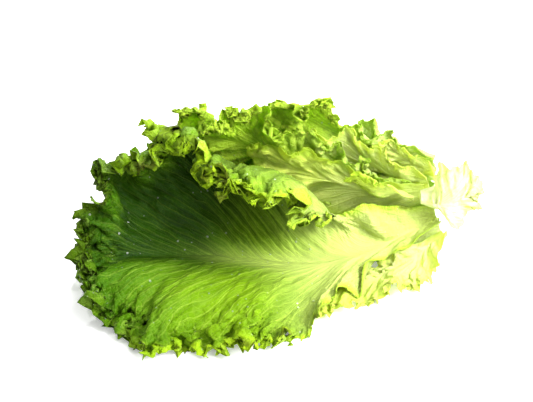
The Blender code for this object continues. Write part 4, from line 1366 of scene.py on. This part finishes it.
# %% The floor
FLOOR_HALF = 6
corners = [(x * FLOOR_HALF, y * FLOOR_HALF, 0) for x, y in ((-1, -1), (1, -1), (1, 1), (-1, 1))]
floor_mesh = bpy.data.meshes.new("floor")
floor_mesh.from_pydata(corners, [], [(0, 1, 2, 3)])
floor = add_object("floor", floor_mesh)
paper, tree = new_material("white_paper")
skin = tree.nodes["Principled BSDF"]
grain = ramp(tree, clouds(tree, 30.0), 0.2, 0.8, 0.0, 1.0)
tone = blend(tree, grain, (0.93, 0.93, 0.93, 1.0), (0.95, 0.95, 0.95, 1.0))
wire(tree, tone, skin.inputs["Base Color"])
skin.inputs["Roughness"].default_value = 0.9
skin.inputs["Emission Color"].default_value = (1.0, 1.0, 1.0, 1.0)
skin.inputs["Emission Strength"].default_value = 0.28
floor_mesh.materials.append(paper)
print("the floor is", 2 * FLOOR_HALF, "m wide")

# %% [markdown]
# The photograph was taken in soft light from all round, with a stronger lamp on the right,
# which bleaches the base of the head. A white sky, a wide sun and four lamps do that. A lamp
# behind the head lights the frills through, and a tiny one above makes the beads of water
# sparkle.

# %% Sky and lamps
sky = bpy.data.worlds.new("white_sky")
sky.use_nodes = True
sky.node_tree.nodes["Background"].inputs["Color"].default_value = (1.0, 1.0, 1.0, 1.0)
sky.node_tree.nodes["Background"].inputs["Strength"].default_value = 0.58
bpy.context.scene.world = sky
bpy.context.scene.view_settings.view_transform = "Standard"


def soft_lamp(name, place, size, power):
    """A square lamp that faces the middle of the head."""
    lamp = bpy.data.lights.new(name, "AREA")
    lamp.size = size
    lamp.energy = power
    thing = add_object(name, lamp)
    thing.location = place
    aim = Vector((0.0, 0.0, 0.05)) - Vector(place)
    thing.rotation_euler = aim.to_track_quat("-Z", "Y").to_euler()


sun = bpy.data.lights.new("window_light", "SUN")
sun.energy = 2.3
sun.angle = math.radians(35.0)
window = add_object("window_light", sun)
window.rotation_euler = Vector((-0.55, 0.38, -0.75)).to_track_quat("-Z", "Y").to_euler()
soft_lamp("lamp_right", (0.34, -0.16, 0.38), 0.20, 3.2)
soft_lamp("lamp_back", (0.15, 0.60, 0.50), 0.40, 9.0)
soft_lamp("lamp_front", (0.40, -0.80, 0.60), 0.60, 4.0)
soft_lamp("lamp_drops", (-0.15, -0.25, 0.80), 0.03, 1.6)

# %% [markdown]
# The camera looks down at about a third of a right angle, from the side where the great front
# leaf lies. A long lens keeps the shapes calm, as in a picture of a product.

# %% Camera
TARGET = Vector((SHIFT[0], SHIFT[1], 0.05))
AWAY = Vector((0.0, -0.7548, 0.4902))
camera_data = bpy.data.cameras.new("camera")
camera_data.sensor_width = 36.0
camera_data.lens = 85.1
camera = add_object("camera", camera_data)
camera.location = TARGET + AWAY
camera.rotation_euler = (-AWAY).to_track_quat("-Z", "Y").to_euler()
bpy.context.scene.camera = camera
print("camera stands", round(AWAY.length, 2), "m from the head")
